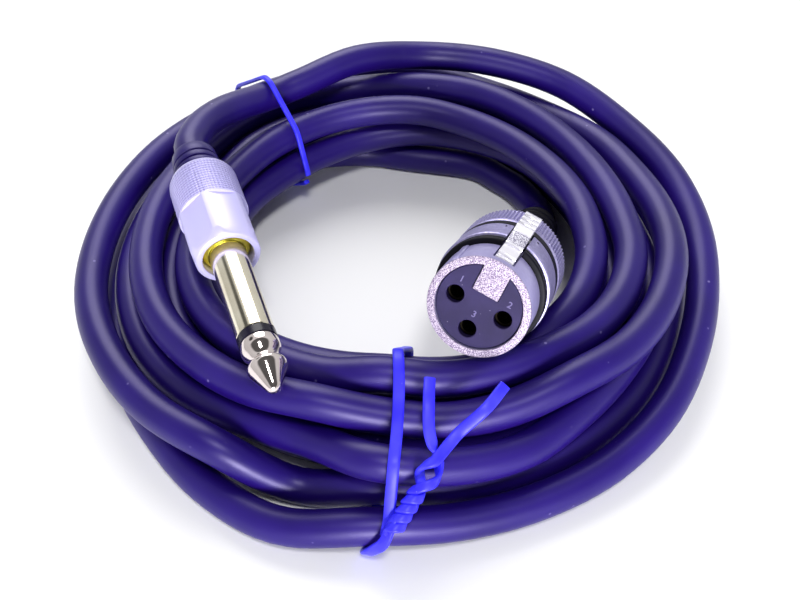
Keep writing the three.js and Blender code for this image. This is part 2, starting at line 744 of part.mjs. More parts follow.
function buildXlr() {
  const group = connectorGroup(XLR.face, XLR.axis, XLR.latchSide);
  addMesh(group, "xlr_nose_shell", xlrNose(), RIM_METAL);
  addMesh(group, "xlr_insert", xlrInsert(), DARK_PLASTIC);
  pinPlaces().forEach((place, i) => addMesh(group, `xlr_contact_${i + 1}`, xlrContact(place), NICKEL));
  const gasketSlot = block(LATCH.slot, 7.0, 12, -XLR.gasketEnd - 1, -XLR.gasketStart + 1);
  const gasket = ring(XLR.gasketRadius, XLR.barrelRadius + RUNNING_GAP, -XLR.gasketEnd, -XLR.gasketStart);
  addMesh(group, "xlr_gasket_ring", cut(gasket, gasketSlot), BLACK_RUBBER);
  addMesh(group, "xlr_body_ring", xlrBody(), BRIGHT_METAL);
  addMesh(group, "xlr_seal_ring", ring(XLR.sealRadius, XLR.spigotRadius + RUNNING_GAP, -XLR.sealEnd, -XLR.sealStart),
    BLACK_RUBBER);
  addMesh(group, "xlr_rear_nut", xlrRearNut(), BRIGHT_METAL);
  addMesh(group, "xlr_latch_lever", xlrLatchLever(), BRIGHT_METAL);
  addMesh(group, "xlr_latch_pin", xlrLatchPin(), SPRING_STEEL);
  addMesh(group, "xlr_latch_spring", xlrLatchSpring(), SPRING_STEEL);
  addMesh(group, "xlr_cable_chuck", xlrChuck(), DARK_PLASTIC);
  addMesh(group, "xlr_boot", xlrBoot(), BLACK_RUBBER);
  pinPlaces().forEach((place, i) => {
    addMesh(group, `xlr_wire_${i + 1}`, xlrWire(place, Math.atan2(place[1], place[0])), COPPER);
  });
}

// ------------------------------------------------------------------ jack plug

function jackTip() {
  const { ringEnd, tipEnd, shaftRadius } = JACK;
  const start = ringEnd + RUNNING_GAP;
  return revolve([
    [0, -7.0], [1.0, -7.0], [1.0, start], [shaftRadius - 0.15, start], [shaftRadius, start + 0.3],
    [shaftRadius, start + 1.5], [2.55, start + 2.5], [2.1, start + 3.3], [2.5, start + 4.0],
    [3.0, start + 4.4], [shaftRadius, start + 5.1], [2.9, start + 5.9], [1.5, tipEnd - 0.9],
    [0.9, tipEnd - 0.25], [0, tipEnd],
  ], 28);
}

function jackSleeve() {
  const { shaftRadius, ringStart } = JACK;
  return revolve([
    [2.3, -5.6], [shaftRadius, -5.6], [shaftRadius, ringStart - RUNNING_GAP], [2.3, ringStart - RUNNING_GAP],
  ], 28);
}

function jackCollar() {
  const { shaftRadius, collarRadius, collarFace } = JACK;
  const bore = shaftRadius + RUNNING_GAP;
  return revolve([
    [bore, collarFace], [collarRadius - 0.2, collarFace], [collarRadius, collarFace - 0.3],
    [collarRadius, -3.2], [4.95, -3.2], [4.95, -8.6], [bore, -8.6],
  ], 28);
}

function jackInsulator() {
  const { shaftRadius, ringStart, ringEnd } = JACK;
  return revolve([
    [1.3, -6.0], [2.0, -6.0], [2.0, ringStart], [shaftRadius, ringStart], [shaftRadius, ringEnd], [1.3, ringEnd],
  ], 28);
}

function jackBarrel() {
  const { barrelRadius, barrelLength, knurlLength, collarRadius } = JACK;
  const rear = -barrelLength;
  const bore = 5.3;
  const shell = revolve([
    [collarRadius + 0.4, 0], [barrelRadius - 0.9, 0], [barrelRadius - 0.55, -0.35], [barrelRadius, -1.9],
    [barrelRadius, rear + knurlLength + 0.4], [barrelRadius - 0.3, rear + knurlLength],
    [barrelRadius - 0.3, rear + 1.4], [barrelRadius - 0.7, rear + 0.6], [barrelRadius - 1.5, rear],
    [4.5, rear], [4.5, rear + 1.6], [bore, rear + 1.6], [bore, -2.8], [collarRadius + 0.4, -2.8],
  ], 40);
  const grip = ribbed(barrelRadius, 0.25, 36, rear + 1.6, rear + knurlLength - 0.4);
  const gripBore = rod(bore + 0.1, rear, 0);
  return join(shell, cut(grip, gripBore));
}

function jackBoot() {
  const { barrelLength, bootEnd } = JACK;
  const rear = -barrelLength;
  return revolve([
    [3.4, rear + 3.2], [5.0, rear + 3.2], [5.0, rear + 1.95], [4.2, rear + 1.95], [4.2, rear - 0.4],
    [4.7, rear - 0.6], [4.6, rear - 1.7], [4.1, rear - 1.9], [4.1, rear - 2.4], [4.4, rear - 2.6],
    [4.3, rear - 3.6], [3.95, rear - 3.8], [3.95, rear - 4.3], [4.2, rear - 4.5], [4.05, bootEnd], [3.4, bootEnd],
  ], 24);
}

function jackClamp() {
  const bed = ring(4.4, 3.4, -16.9, -12.6, 24);
  const openTop = block(10, 1.2, 6, -18, -11);
  const arm = block(3.0, -4.4, -3.5, -13.0, -8.9);
  return join(cut(bed, openTop), arm);
}

function jackTipLug() {
  const washer = ring(2.4, 1.3, -6.95, -6.3, 20);
  const tab = block(1.6, 2.0, 3.0, -6.95, -6.3);
  const leg = block(1.6, 2.4, 3.0, -11.4, -6.3);
  return join(washer, tab, leg);
}

function jackWire() {
  const start = new THREE.Vector3(0, 1.0, JACK.cableStart + 0.3);
  const bend = new THREE.Vector3(0, 1.2, JACK.cableStart + 2.2);
  const end = new THREE.Vector3(0, 1.6, -11.2);
  return tube(smoothPoints([start, bend, end], 5), roundSection(0.45, 6));
}

function buildJack() {
  const group = connectorGroup(JACK.rim, JACK.axis, JACK.up);
  addMesh(group, "jack_tip", jackTip(), NICKEL);
  addMesh(group, "jack_insulator_ring", jackInsulator(), BLACK_RUBBER);
  addMesh(group, "jack_sleeve", jackSleeve(), NICKEL);
  addMesh(group, "jack_collar", jackCollar(), GOLD);
  addMesh(group, "jack_barrel", jackBarrel(), SATIN);
  addMesh(group, "jack_boot", jackBoot(), JACKET);
  addMesh(group, "jack_cable_clamp", jackClamp(), NICKEL);
  addMesh(group, "jack_tip_lug", jackTipLug(), NICKEL);
  addMesh(group, "jack_wire", jackWire(), COPPER);
}

// ----------------------------------------------------------------------- ties

// Corners of the smallest outline round a set of [radius, height] places.
function hull(places) {
  const sorted = [...places].sort((a, b) => a[0] - b[0] || a[1] - b[1]);
  const turn = (o, a, b) => (a[0] - o[0]) * (b[1] - o[1]) - (a[1] - o[1]) * (b[0] - o[0]);
  const half = (list) => list.reduce((chain, place) => {
    while (chain.length > 1 && turn(chain[chain.length - 2], chain[chain.length - 1], place) <= 0) chain.pop();
    chain.push(place);
    return chain;
  }, []);
  return [...half(sorted).slice(0, -1), ...half(sorted.reverse()).slice(0, -1)];
}

// Where the cable crosses the upright plane at an azimuth.
function crossings(path, azimuth) {
  const along = new THREE.Vector3(Math.cos(azimuth), Math.sin(azimuth), 0);
  const off = new THREE.Vector3(-Math.sin(azimuth), Math.cos(azimuth), 0);
  const places = [];
  for (let i = 0; i + 1 < path.length; i += 1) {
    const a = path[i].dot(off);
    const b = path[i + 1].dot(off);
    const point = path[i].clone().lerp(path[i + 1], a / (a - b));
    if (a <= 0 !== b <= 0 && point.dot(along) > 0) places.push([point.dot(along), point.z]);
  }
  return places;
}

// The taut path of a tie round everything that crosses its plane, in even steps.
function wrapPlaces(paths, azimuth) {
  const reach = CABLE_RADIUS + TIE.clearance + TIE.halfThickness;
  const corners = 20;
  const rims = paths.flatMap((path) => crossings(path, azimuth)).flatMap(([radius, height]) => (
    Array.from({ length: corners }, (_, k) => {
      const angle = (k / corners) * 2 * Math.PI;
      const corner = reach / Math.cos(Math.PI / corners);
      return [radius + corner * Math.cos(angle), Math.max(height + corner * Math.sin(angle), TIE.halfThickness)];
    })
  ));
  const outline = hull(rims);
  return outline.flatMap(([radius, height], i) => {
    const [nextRadius, nextHeight] = outline[(i + 1) % outline.length];
    const parts = Math.max(Math.round(Math.hypot(nextRadius - radius, nextHeight - height) / TIE.step), 1);
    return Array.from({ length: parts }, (_, k) => [
      radius + (k / parts) * (nextRadius - radius), height + (k / parts) * (nextHeight - height),
    ]);
  });
}

function nearestIndex(list, target) {
  let best = 0;
  list.forEach((point, i) => {
    if (point.distanceTo(target) < list[best].distanceTo(target)) best = i;
  });
  return best;
}

// The wrap of a tie, opened near a point and going from there over the top.
function openWrap(paths, degrees, near, opening) {
  const azimuth = degrees * RADIANS;
  const places = wrapPlaces(paths, azimuth).map(([radius, height]) => onCoil(radius, height, azimuth));
  const first = nearestIndex(places, near);
  const around = [...places.slice(first), ...places.slice(0, first)];
  const overTop = around[2].z > around[around.length - 2].z ? around : [around[0], ...around.slice(1).reverse()];
  return overTop.slice(opening, overTop.length - opening + 1);
}

// One of the two strands that wind round each other in a twist.
function twistStrand(from, to, phase) {
  const axis = to.clone().sub(from).normalize();
  const first = new THREE.Vector3(0, 0, 1).cross(axis).normalize();
  const second = axis.clone().cross(first);
  const steps = Math.round(TIE.twistTurns * 8);
  return Array.from({ length: steps + 1 }, (_, i) => {
    const share = i / steps;
    const angle = phase + share * TIE.twistTurns * 2 * Math.PI;
    return from.clone().lerp(to, share)
      .addScaledVector(first, TIE.twistRadius * Math.cos(angle))
      .addScaledVector(second, TIE.twistRadius * Math.sin(angle));
  });
}

// A flat tie whose width stays square to the plane of its wrap.
function tieStrip(points, wrapMiddle, azimuth) {
  const acrossPlane = new THREE.Vector3(-Math.sin(azimuth), Math.cos(azimuth), 0);
  const tangents = tangentsOf(points);
  const middle = nearestIndex(points, wrapMiddle);
  const firstNormal = tangents[middle].clone().cross(acrossPlane);
  const onward = carriedNormals(tangents.slice(middle), firstNormal);
  const back = carriedNormals(tangents.slice(0, middle + 1).reverse(), firstNormal).reverse();
  return tube(points, flatSection(TIE.halfThickness, TIE.halfWidth), [...back, ...onward.slice(1)]);
}

function frontTie(paths) {
  const wrap = openWrap(paths, FRONT_TIE_AZIMUTH, TWIST_START, 1);
  const firstStrand = twistStrand(TWIST_START, TWIST_END, 0);
  const secondStrand = twistStrand(TWIST_START, TWIST_END, Math.PI);
  const control = [
    ...toVectors(TIE_END_UP).reverse(), ...firstStrand.reverse(), ...wrap, ...secondStrand, ...toVectors(TIE_END_SIDE),
  ];
  return tieStrip(smoothPoints(control, 130), wrap[Math.floor(wrap.length / 2)], FRONT_TIE_AZIMUTH * RADIANS);
}

function rearTie(paths) {
  const inside = onCoil(30, 7, REAR_TIE_AZIMUTH * RADIANS);
  const wrap = openWrap(paths, REAR_TIE_AZIMUTH, inside, 1);
  return tieStrip(smoothPoints(wrap, 60), wrap[Math.floor(wrap.length / 2)], REAR_TIE_AZIMUTH * RADIANS);
}

function buildTies(paths) {
  addMesh(assembly, "tie_front", frontTie(paths), TIE_PLASTIC);
  addMesh(assembly, "tie_rear", rearTie(paths), TIE_PLASTIC);
}

// ------------------------------------------------------------------- assembly

buildCoil();
const { xlrTail, jackTail } = buildTails();
buildXlr();
buildJack();
buildTies([coilPath, xlrTail, jackTail]);
assembly.position.copy(COIL_CENTRE).negate();
assembly.updateMatrixWorld(true);

export default assembly;
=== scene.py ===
"""Microphone cable coil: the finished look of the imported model.

The cable is one flexible length of 6 mm purple cable, laid by the same
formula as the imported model's coil. The three-pole connector, the jack plug and
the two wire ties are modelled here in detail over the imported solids. Sizes are
in millimetres and every finished piece is placed in metres.
"""

from __future__ import annotations

import json
import logging
import math
from dataclasses import dataclass, field
from enum import Enum
from typing import Callable, Iterable, Sequence

import bpy
from mathutils import Matrix, Vector

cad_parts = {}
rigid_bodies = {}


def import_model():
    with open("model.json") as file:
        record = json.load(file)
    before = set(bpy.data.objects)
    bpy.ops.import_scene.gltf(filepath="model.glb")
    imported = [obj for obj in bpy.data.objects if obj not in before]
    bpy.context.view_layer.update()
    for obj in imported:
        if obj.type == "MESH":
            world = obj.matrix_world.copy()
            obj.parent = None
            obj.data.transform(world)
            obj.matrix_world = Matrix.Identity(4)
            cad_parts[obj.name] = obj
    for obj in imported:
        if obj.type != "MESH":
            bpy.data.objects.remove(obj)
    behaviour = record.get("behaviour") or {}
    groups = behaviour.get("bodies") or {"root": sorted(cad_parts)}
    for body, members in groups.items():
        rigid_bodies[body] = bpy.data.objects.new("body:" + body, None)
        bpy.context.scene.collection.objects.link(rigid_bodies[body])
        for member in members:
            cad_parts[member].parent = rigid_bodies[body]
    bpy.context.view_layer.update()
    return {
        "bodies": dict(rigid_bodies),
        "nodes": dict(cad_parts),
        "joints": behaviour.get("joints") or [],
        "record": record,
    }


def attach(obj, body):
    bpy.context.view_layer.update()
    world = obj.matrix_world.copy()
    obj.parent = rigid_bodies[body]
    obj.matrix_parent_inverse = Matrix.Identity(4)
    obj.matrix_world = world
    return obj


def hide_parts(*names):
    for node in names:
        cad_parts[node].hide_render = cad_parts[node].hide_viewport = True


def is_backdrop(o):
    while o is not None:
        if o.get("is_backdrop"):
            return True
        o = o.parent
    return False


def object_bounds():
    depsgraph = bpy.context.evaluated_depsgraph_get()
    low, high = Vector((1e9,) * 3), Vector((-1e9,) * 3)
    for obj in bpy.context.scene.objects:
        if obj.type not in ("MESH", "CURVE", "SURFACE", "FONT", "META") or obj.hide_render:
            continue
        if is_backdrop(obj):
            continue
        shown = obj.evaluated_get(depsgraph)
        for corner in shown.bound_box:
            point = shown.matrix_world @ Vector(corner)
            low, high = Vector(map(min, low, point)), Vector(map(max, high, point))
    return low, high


LOG = logging.getLogger("cable_coil")
MM = 0.001  # metres in a millimetre
TOUCH = 1e-6  # points closer than this count as one
COIL_CENTRE = Vector((0.3, 4.78, 0.0))
CABLE_DIAMETER = 6.0
PHOTO_WIDTH = 800
WHITE = (1.0, 1.0, 1.0)

Corner = tuple[float, float]
Knot = tuple[float, ...]
Tone = tuple[int, int, int]
Dressed = tuple[Vector, Vector, float]  # point, way its flat side faces, share of the width


class Look(Enum):
    """Widest angle, in degrees, that still shades as one smooth surface."""

    CAST = 35.0
    DRAWN = 50.0


class Joining(Enum):
    """How two solids become one."""

    CUT = "DIFFERENCE"
    FUSE = "UNION"


class Body(Enum):
    """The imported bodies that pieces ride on."""

    CORD = "cable"
    LATCH = "xlr_latch"
    NUT = "xlr_nut"
    BARREL = "jack_shell"


# --------------------------------------------------------------------- route


@dataclass(frozen=True)
class Around:
    """A value on the four sides of the coil, blended round it."""

    front: float
    right: float
    rear: float
    left: float

    def at(self, azimuth: float) -> float:
        """Blend the four values.

        Args:
            azimuth: place round the coil, in radians.

        Returns:
            The value there.
        """
        c, s = math.cos(azimuth), math.sin(azimuth)
        across = self.right if c > 0 else self.left
        along = self.rear if s > 0 else self.front
        return across * c * c + along * s * s


def smooth_step(x: float) -> float:
    """Ease from 0 to 1 over the same range of x."""
    t = min(max(x, 0.0), 1.0)
    return t * t * (3 - 2 * t)


def bump(x: float, middle: float, half_width: float) -> float:
    """Give a bell of height 1 round the middle."""
    return math.exp(-(((x - middle) / half_width) ** 2))


def hermite(before: float, start: float, end: float, after: float, t: float) -> float:
    """Run smoothly through four evenly counted values.

    Args:
        before: value before the stretch.
        start: value at its start.
        end: value at its end.
        after: value after the stretch.
        t: place on the stretch, from 0 to 1.

    Returns:
        The value at t.
    """
    return 0.5 * (
        2 * start
        + (end - before) * t
        + (2 * before - 5 * start + 4 * end - after) * t * t
        + (3 * start - before - 3 * end + after) * t * t * t
    )


@dataclass
class Station:
    """One step of the coil: its turn, azimuth, radius and height."""

    turn: float
    azimuth: float
    radius: float
    height: float

    def point(self) -> Vector:
        """Give the station's place, in millimetres."""
        c, s = math.cos(self.azimuth), math.sin(self.azimuth)
        return Vector((self.radius * c, self.radius * s, self.height))


@dataclass(frozen=True)
class CoilRoute:
    """The laid and settled turns of the coil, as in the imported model."""

    cable_diameter: float = CABLE_DIAMETER
    steps_per_turn: int = 24
    first_azimuth: float = 70.0
    first_step: int = 1
    outward_turns: float = 2.1
    inward_turns: float = 2.5
    climb_half_turn: float = 0.5
    second_climb_delay: float = 0.22
    flat: float = 0.6
    spacing: float = 6.78
    settle_rounds: int = 60
    spreads_each_round: int = 3
    spread_rounds: int = 200
    smallest_push: float = 0.003
    gravity: float = 0.03
    stiffness: float = 0.12
    hold: float = 0.08
    inner_radius: Around = Around(31.2, 35.6, 43.2, 36.0)
    turn_pitch: Around = Around(6.4, 5.9, 6.0, 6.9)
    layer_height: Around = Around(6.0, 6.0, 6.1, 5.8)
    turn_droop: Around = Around(0.5, 0.2, 0.0, 0.2)
    layer_lean: Around = Around(0.9, 0.4, 0.0, 0.0)
    # Turn, half width in turns, outward shift and rise.
    rides: tuple[Knot, ...] = (
        (0.03, 0.05, -3.8, 0), (0.035, 0.03, -1.4, 0), (0.1, 0.25, 3.7, 0), (0.5, 0.08, -1.6, 0),
        (0.7, 0.15, -3, 0), (0.94, 0.12, 2, 0), (1.03, 0.06, 1.8, 0), (1.1, 0.22, 3.6, 0),
        (1.5, 0.08, -1.8, 0), (1.7, 0.15, -2.6, 0), (2.1, 0.2, 3.4, -2), (2.48, 0.055, -3.4, 1),
        (2.6, 0.08, 3.8, 1.4), (3.96, 0.09, 0.8, 2.6), (4.12, 0.1, -1.2, 0),
        (4.52, 0.13, -2, 2.6), (4.68, 0.06, 2.4, -0.8), (4.75, 0.11, 4.5, 0.5),
        (5.1, 0.18, -2, -1), (5.6, 0.1, -1.8, 1), (6.08, 0.2, 1.6, -0.4), (6.17, 0.07, 1.4, -2),
        (6.48, 0.06, -0.3, -2), (6.58, 0.12, -0.4, -1.4), (7.08, 0.2, 6.5, -2.5),
    )
    # Turn, half width in turns and extra room.
    crossings: tuple[Knot, ...] = (
        (0.42, 0.1, 0.1), (1.85, 0.1, 0.2), (2.54, 0.06, 0.9), (3.06, 0.05, 0.2),
        (7.48, 0.08, 1.3), (9.06, 0.12, 1.45),
    )
    last_loop_turn: int = 7
    last_loop_blend: float = 30.0
    # Azimuth counted on, radius and height.
    last_loop: tuple[Knot, ...] = (
        (135, 59.4, 11.5), (150, 57.4, 11.5), (172, 56.8, 10.5), (195, 56.2, 10.2),
        (210, 53.6, 10.4), (222, 51.8, 9.6), (234, 49.2, 7.6), (246, 46.6, 3.6), (256, 45.2, 3),
        (268, 44.6, 4), (280, 44, 3), (300, 44.6, 2.4), (330, 46.6, 2.4), (360, 49.8, 2.4),
        (405, 57.5, 2.4), (450, 64.8, 2.4), (495, 59.5, 2.4), (540, 52, 2.4), (565, 51.8, 2.4),
        (585, 51.8, 2.4), (600, 51.8, 2.4), (615, 52.2, 2.4), (630, 52.4, 2.4), (645, 51.6, 2.4),
        (660, 51, 2.4), (675, 51, 3), (690, 51.6, 4.6), (705, 53.6, 6.4), (720, 56.4, 8.4),
        (747, 61, 11.2), (764, 61, 13), (777, 60.2, 14.4), (790, 59, 15.4), (810, 55, 16.6),
        (820, 51.6, 17.8), (829.6, 49.4, 19.4), (842, 48.6, 21),
    )
    # Azimuth, lift and half width in degrees.
    tie_lifts: tuple[Knot, ...] = ((268, 2.4, 12), (124, 2.4, 14))

    @property
    def floor(self) -> float:
        """Height of the middle of a turn that lies on the floor."""
        return self.cable_diameter / 2 - self.flat

    def spiral_place(self, turn: float) -> tuple[float, float]:
        """Find where the spiral has got to.

        Args:
            turn: turns from the coil's first step.

        Returns:
            The radial place, in turns, and the layer.
        """
        first = self.outward_turns
        second = first + self.inward_turns
        place = turn
        if turn > first:
            place = first - (turn - first)
        if turn > second:
            place = first - self.inward_turns + (turn - second)
        layer = smooth_step((turn - first) / self.climb_half_turn + 0.5)
        layer += smooth_step(
            (turn - second - self.second_climb_delay) / self.climb_half_turn + 0.5
        )
        return place, layer

    def last_loop_place(self, degrees: float) -> tuple[float, float]:
        """Read the listed last loop.

        Args:
            degrees: azimuth counted on from the seventh turn.

        Returns:
            The radius and the height, in millimetres.
        """
        knots = self.last_loop
        end = len(knots) - 1
        i = 0
        while i < end - 1 and degrees > knots[i + 1][0]:
            i += 1
        t = (degrees - knots[i][0]) / (knots[i + 1][0] - knots[i][0])
        t = min(max(t, 0.0), 1.0)
        ends = (max(i - 1, 0), i, i + 1, min(i + 2, end))
        radius, height = (hermite(*(knots[k][c] for k in ends), t) for c in (1, 2))
        return radius, height

    def laid(self) -> list[Station]:
        """Lay the turns by formula, before they settle.

        Returns:
            One station for each step of the coil.
        """
        turns = self.last_loop_turn + (self.last_loop[-1][0] - self.first_azimuth) / 360
        # floor(x + 0.5) rounds a half up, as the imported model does.
        count = math.floor(turns * self.steps_per_turn + 0.5) + 1 - self.first_step
        stations = []
        for i in range(count):
            turn = (i + self.first_step) / self.steps_per_turn
            degrees = self.first_azimuth + 360 * turn
            azimuth = math.radians(degrees)
            place, layer = self.spiral_place(turn)
            radius = self.inner_radius.at(azimuth)
            radius += place * self.turn_pitch.at(azimuth)
            radius += (layer - 1) * self.layer_lean.at(azimuth)
            height = self.floor + layer * self.layer_height.at(azimuth)
            height -= place * layer * self.turn_droop.at(azimuth)
            for middle, half_width, shift, rise in self.rides:
                share = bump(turn, middle, half_width)
                radius += share * shift
                height += share * rise
            onward = degrees - 360 * self.last_loop_turn
            blend = smooth_step((onward - self.last_loop[0][0]) / self.last_loop_blend + 1)
            last_radius, last_height = self.last_loop_place(onward)
            radius += blend * (last_radius - radius)
            height += blend * (last_height - height)
            stations.append(Station(turn, azimuth, radius, height))
        return stations

    def spacing_at(self, turn: float) -> float:
        """Give the least distance kept from the middle of a turn to another's."""
        rooms = (room * bump(turn, middle, half) for middle, half, room in self.crossings)
        return self.spacing + sum(rooms)

    def floor_at(self, azimuth: float) -> float:
        """Give the lowest height of a turn, raised where a tie passes under it.

        Args:
            azimuth: place round the coil, in radians.

        Returns:
            The height of the turn's middle, in millimetres.
        """
        height = self.floor
        for degrees, lift, half in self.tie_lifts:
            off = azimuth - math.radians(degrees)
            off = math.atan2(math.sin(off), math.cos(off))
            height += lift * bump(math.degrees(off), 0, half)
        return height

    def spread(self, stations: list[Station]) -> float:
        """Push apart the turns that are too close, once.

        Args:
            stations: the coil's stations, changed in place.

        Returns:
            The largest push, in millimetres.
        """
        worst = 0.0
        step = self.steps_per_turn
        for k in range(step):
            for i in range(k, len(stations), step):
                for j in range(i + step, len(stations), step):
                    a, b = stations[i], stations[j]
                    across, above = b.radius - a.radius, b.height - a.height
                    distance = math.hypot(across, above)
                    wanted = max(self.spacing_at(a.turn), self.spacing_at(b.turn))
                    if distance < wanted:
                        share = 0.5 * (wanted - distance) / distance
                        a.radius -= share * across
                        a.height -= share * above
                        b.radius += share * across
                        b.height += share * above
                        worst = max(worst, wanted - distance)
        for station in stations:
            station.height = max(station.height, self.floor_at(station.azimuth))
        return worst

    def settled(self) -> list[Vector]:
        """Let the laid turns sink and nest.

        Returns:
            The coil's points, in millimetres round its own middle.
        """
        laid = self.laid()
        stations = [Station(s.turn, s.azimuth, s.radius, s.height) for s in laid]
        last = len(stations) - 1
        for _ in range(self.settle_rounds):
            eased = []
            for i, s in enumerate(stations):
                before, after = stations[max(i - 1, 0)], stations[min(i + 1, last)]
                stiff = self.stiffness if 0 < i < last else 0.0
                radius = s.radius + stiff * ((before.radius + after.radius) / 2 - s.radius)
                height = s.height + stiff * ((before.height + after.height) / 2 - s.height)
                radius += self.hold * (laid[i].radius - radius)
                height += self.hold * (laid[i].height - height)
                eased.append(Station(s.turn, s.azimuth, radius, height - self.gravity))
            stations = eased
            for _ in range(self.spreads_each_round):
                self.spread(stations)
        for _ in range(self.spread_rounds):
            if self.spread(stations) < self.smallest_push:
                break
        return [s.point() for s in stations]


@dataclass(frozen=True)
class Seat:
    """Where a connector sits: its face's middle, its axis and one side."""

    origin: Vector
    axis: Vector
    side: Vector

    def basis(self) -> Matrix:
        """Turn from the connector's own axes to the coil's.

        Returns:
            The rotation, with the connector's axis as its Z.
        """
        across = self.side.cross(self.axis).normalized()
        up = self.axis.cross(across).normalized()
        return Matrix((across, up, self.axis.normalized())).transposed()

    def along(self, distance: float) -> Vector:
        """Give a point on the axis, in millimetres."""
        return self.origin + self.axis.normalized() * distance

    def placed(self) -> Matrix:
        """Find where the connector goes.

        Returns:
            The matrix from the connector's millimetres to the scene's metres.
        """
        matrix = self.basis().to_4x4()
        matrix.translation = self.origin - COIL_CENTRE
        return Matrix.Scale(MM, 4) @ matrix


XLR_SEAT = Seat(
    origin=Vector((12.0, -29.1, 27.4)),
    axis=Vector((-0.296, -0.858, 0.418)),
    side=Vector((0.404, 0.284, 0.869)),
)
JACK_SEAT = Seat(
    origin=Vector((-28.6, -13.6, 23.5)),
    axis=Vector((0.339, -0.938, -0.045)),
    side=Vector((0, 0, 1)),
)


def centripetal(points: Sequence[Vector], step: float) -> list[Vector]:
    """Draw one smooth curve through points.

    Args:
        points: the points, in millimetres.
        step: largest spacing of the result.

    Returns:
        The curve's points, ends included.
    """
    ends = [points[0] * 2 - points[1], *points, points[-1] * 2 - points[-2]]
    curve = []
    for p0, p1, p2, p3 in zip(ends, ends[1:], ends[2:], ends[3:]):
        t1 = max((p1 - p0).length, TOUCH) ** 0.5
        t2 = t1 + max((p2 - p1).length, TOUCH) ** 0.5
        t3 = t2 + max((p3 - p2).length, TOUCH) ** 0.5
        count = max(1, math.ceil((p2 - p1).length / step))
        for k in range(count):
            t = t1 + (t2 - t1) * k / count
            a1 = p0 * ((t1 - t) / t1) + p1 * (t / t1)
            a2 = p1 * ((t2 - t) / (t2 - t1)) + p2 * ((t - t1) / (t2 - t1))
            a3 = p2 * ((t3 - t) / (t3 - t2)) + p3 * ((t - t2) / (t3 - t2))
            b1 = a1 * ((t2 - t) / t2) + a2 * (t / t2)
            b2 = a2 * ((t3 - t) / (t3 - t1)) + a3 * ((t - t1) / (t3 - t1))
            curve.append(b1 * ((t2 - t) / (t2 - t1)) + b2 * ((t - t1) / (t2 - t1)))
    return [*curve, points[-1].copy()]


# ------------------------------------------------------------------ modelling


def deselect_all() -> None:
    """Leave nothing selected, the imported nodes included."""
    if bpy.context.object and bpy.context.object.mode != "OBJECT":
        bpy.ops.object.mode_set(mode="OBJECT")
    bpy.ops.object.select_all(action="DESELECT")


def take_up(piece: bpy.types.Object) -> None:
    """Make one object the only selected and the active one.

    Args:
        piece: the object.
    """
    deselect_all()
    piece.select_set(True)
    bpy.context.view_layer.objects.active = piece


def apply_modifier(piece: bpy.types.Object, kind: str, **settings: object) -> None:
    """Add a modifier, set it and apply it.

    Args:
        piece: the object.
        kind: Blender's name of the modifier.
        **settings: its settings by name.
    """
    take_up(piece)
    modifier = piece.modifiers.new(kind.title(), kind)
    for name, value in settings.items():
        setattr(modifier, name, value)
    bpy.ops.object.modifier_apply(modifier=modifier.name)


def tidy_surface(piece: bpy.types.Object, merge: float = 1e-4) -> None:
    """Merge doubled corners and turn all faces outwards.

    Args:
        piece: the object.
        merge: corners closer than this become one.
    """
    take_up(piece)
    bpy.ops.object.mode_set(mode="EDIT")
    bpy.ops.mesh.select_all(action="SELECT")
    bpy.ops.mesh.remove_doubles(threshold=merge)
    bpy.ops.mesh.normals_make_consistent(inside=False)
    bpy.ops.object.mode_set(mode="OBJECT")


def turned(name: str, corners: Sequence[Corner], segments: int = 96) -> bpy.types.Object:
    """Turn a side profile round local Z, ring by ring.

    Args:
        name: name of the piece.
        corners: radius and height of each corner; a profile that starts off
            the axis is closed on itself.
        segments: sides of the turned shape.

    Returns:
        The closed solid, in millimetres.
    """
    least = 2e-5  # keeps a ring on the axis open until its corners are merged
    ring = [(max(radius, least), height) for radius, height in corners]
    if corners[0][0] > 0:
        ring.append(ring[0])
    deselect_all()
    bpy.ops.mesh.primitive_circle_add(vertices=segments, radius=ring[0][0], location=(0, 0, 0))
    piece = bpy.context.object
    piece.name = piece.data.name = name
    bpy.ops.object.mode_set(mode="EDIT")
    bpy.ops.mesh.select_all(action="SELECT")
    bpy.ops.transform.translate(value=(0, 0, ring[0][1]))
    for (radius, height), (next_radius, next_height) in zip(ring, ring[1:]):
        bpy.ops.mesh.extrude_region_move(
            TRANSFORM_OT_translate={"value": (0, 0, next_height - height)}
        )
        factor = next_radius / radius
        bpy.ops.transform.resize(value=(factor, factor, 1), center_override=(0, 0, 0))
    bpy.ops.object.mode_set(mode="OBJECT")
    tidy_surface(piece)
    return piece


def block(
    name: str, low: Sequence[float], high: Sequence[float], edge: float = 0.0
) -> bpy.types.Object:
    """Make a block between two corners, with rounded edges if asked.

    Args:
        name: name of the piece.
        low: lowest corner.
        high: highest corner.
        edge: radius of its edges.

    Returns:
        The block, in millimetres.
    """
    deselect_all()
    middle = [(a + b) / 2 for a, b in zip(low, high)]
    bpy.ops.mesh.primitive_cube_add(size=1, location=middle)
    piece = bpy.context.object
    piece.name = piece.data.name = name
    piece.scale = [b - a for a, b in zip(low, high)]
    bpy.ops.object.transform_apply(location=True, rotation=True, scale=True)
    if edge > 0:
        apply_modifier(piece, "BEVEL", width=edge, segments=3, limit_method="NONE")
    return piece


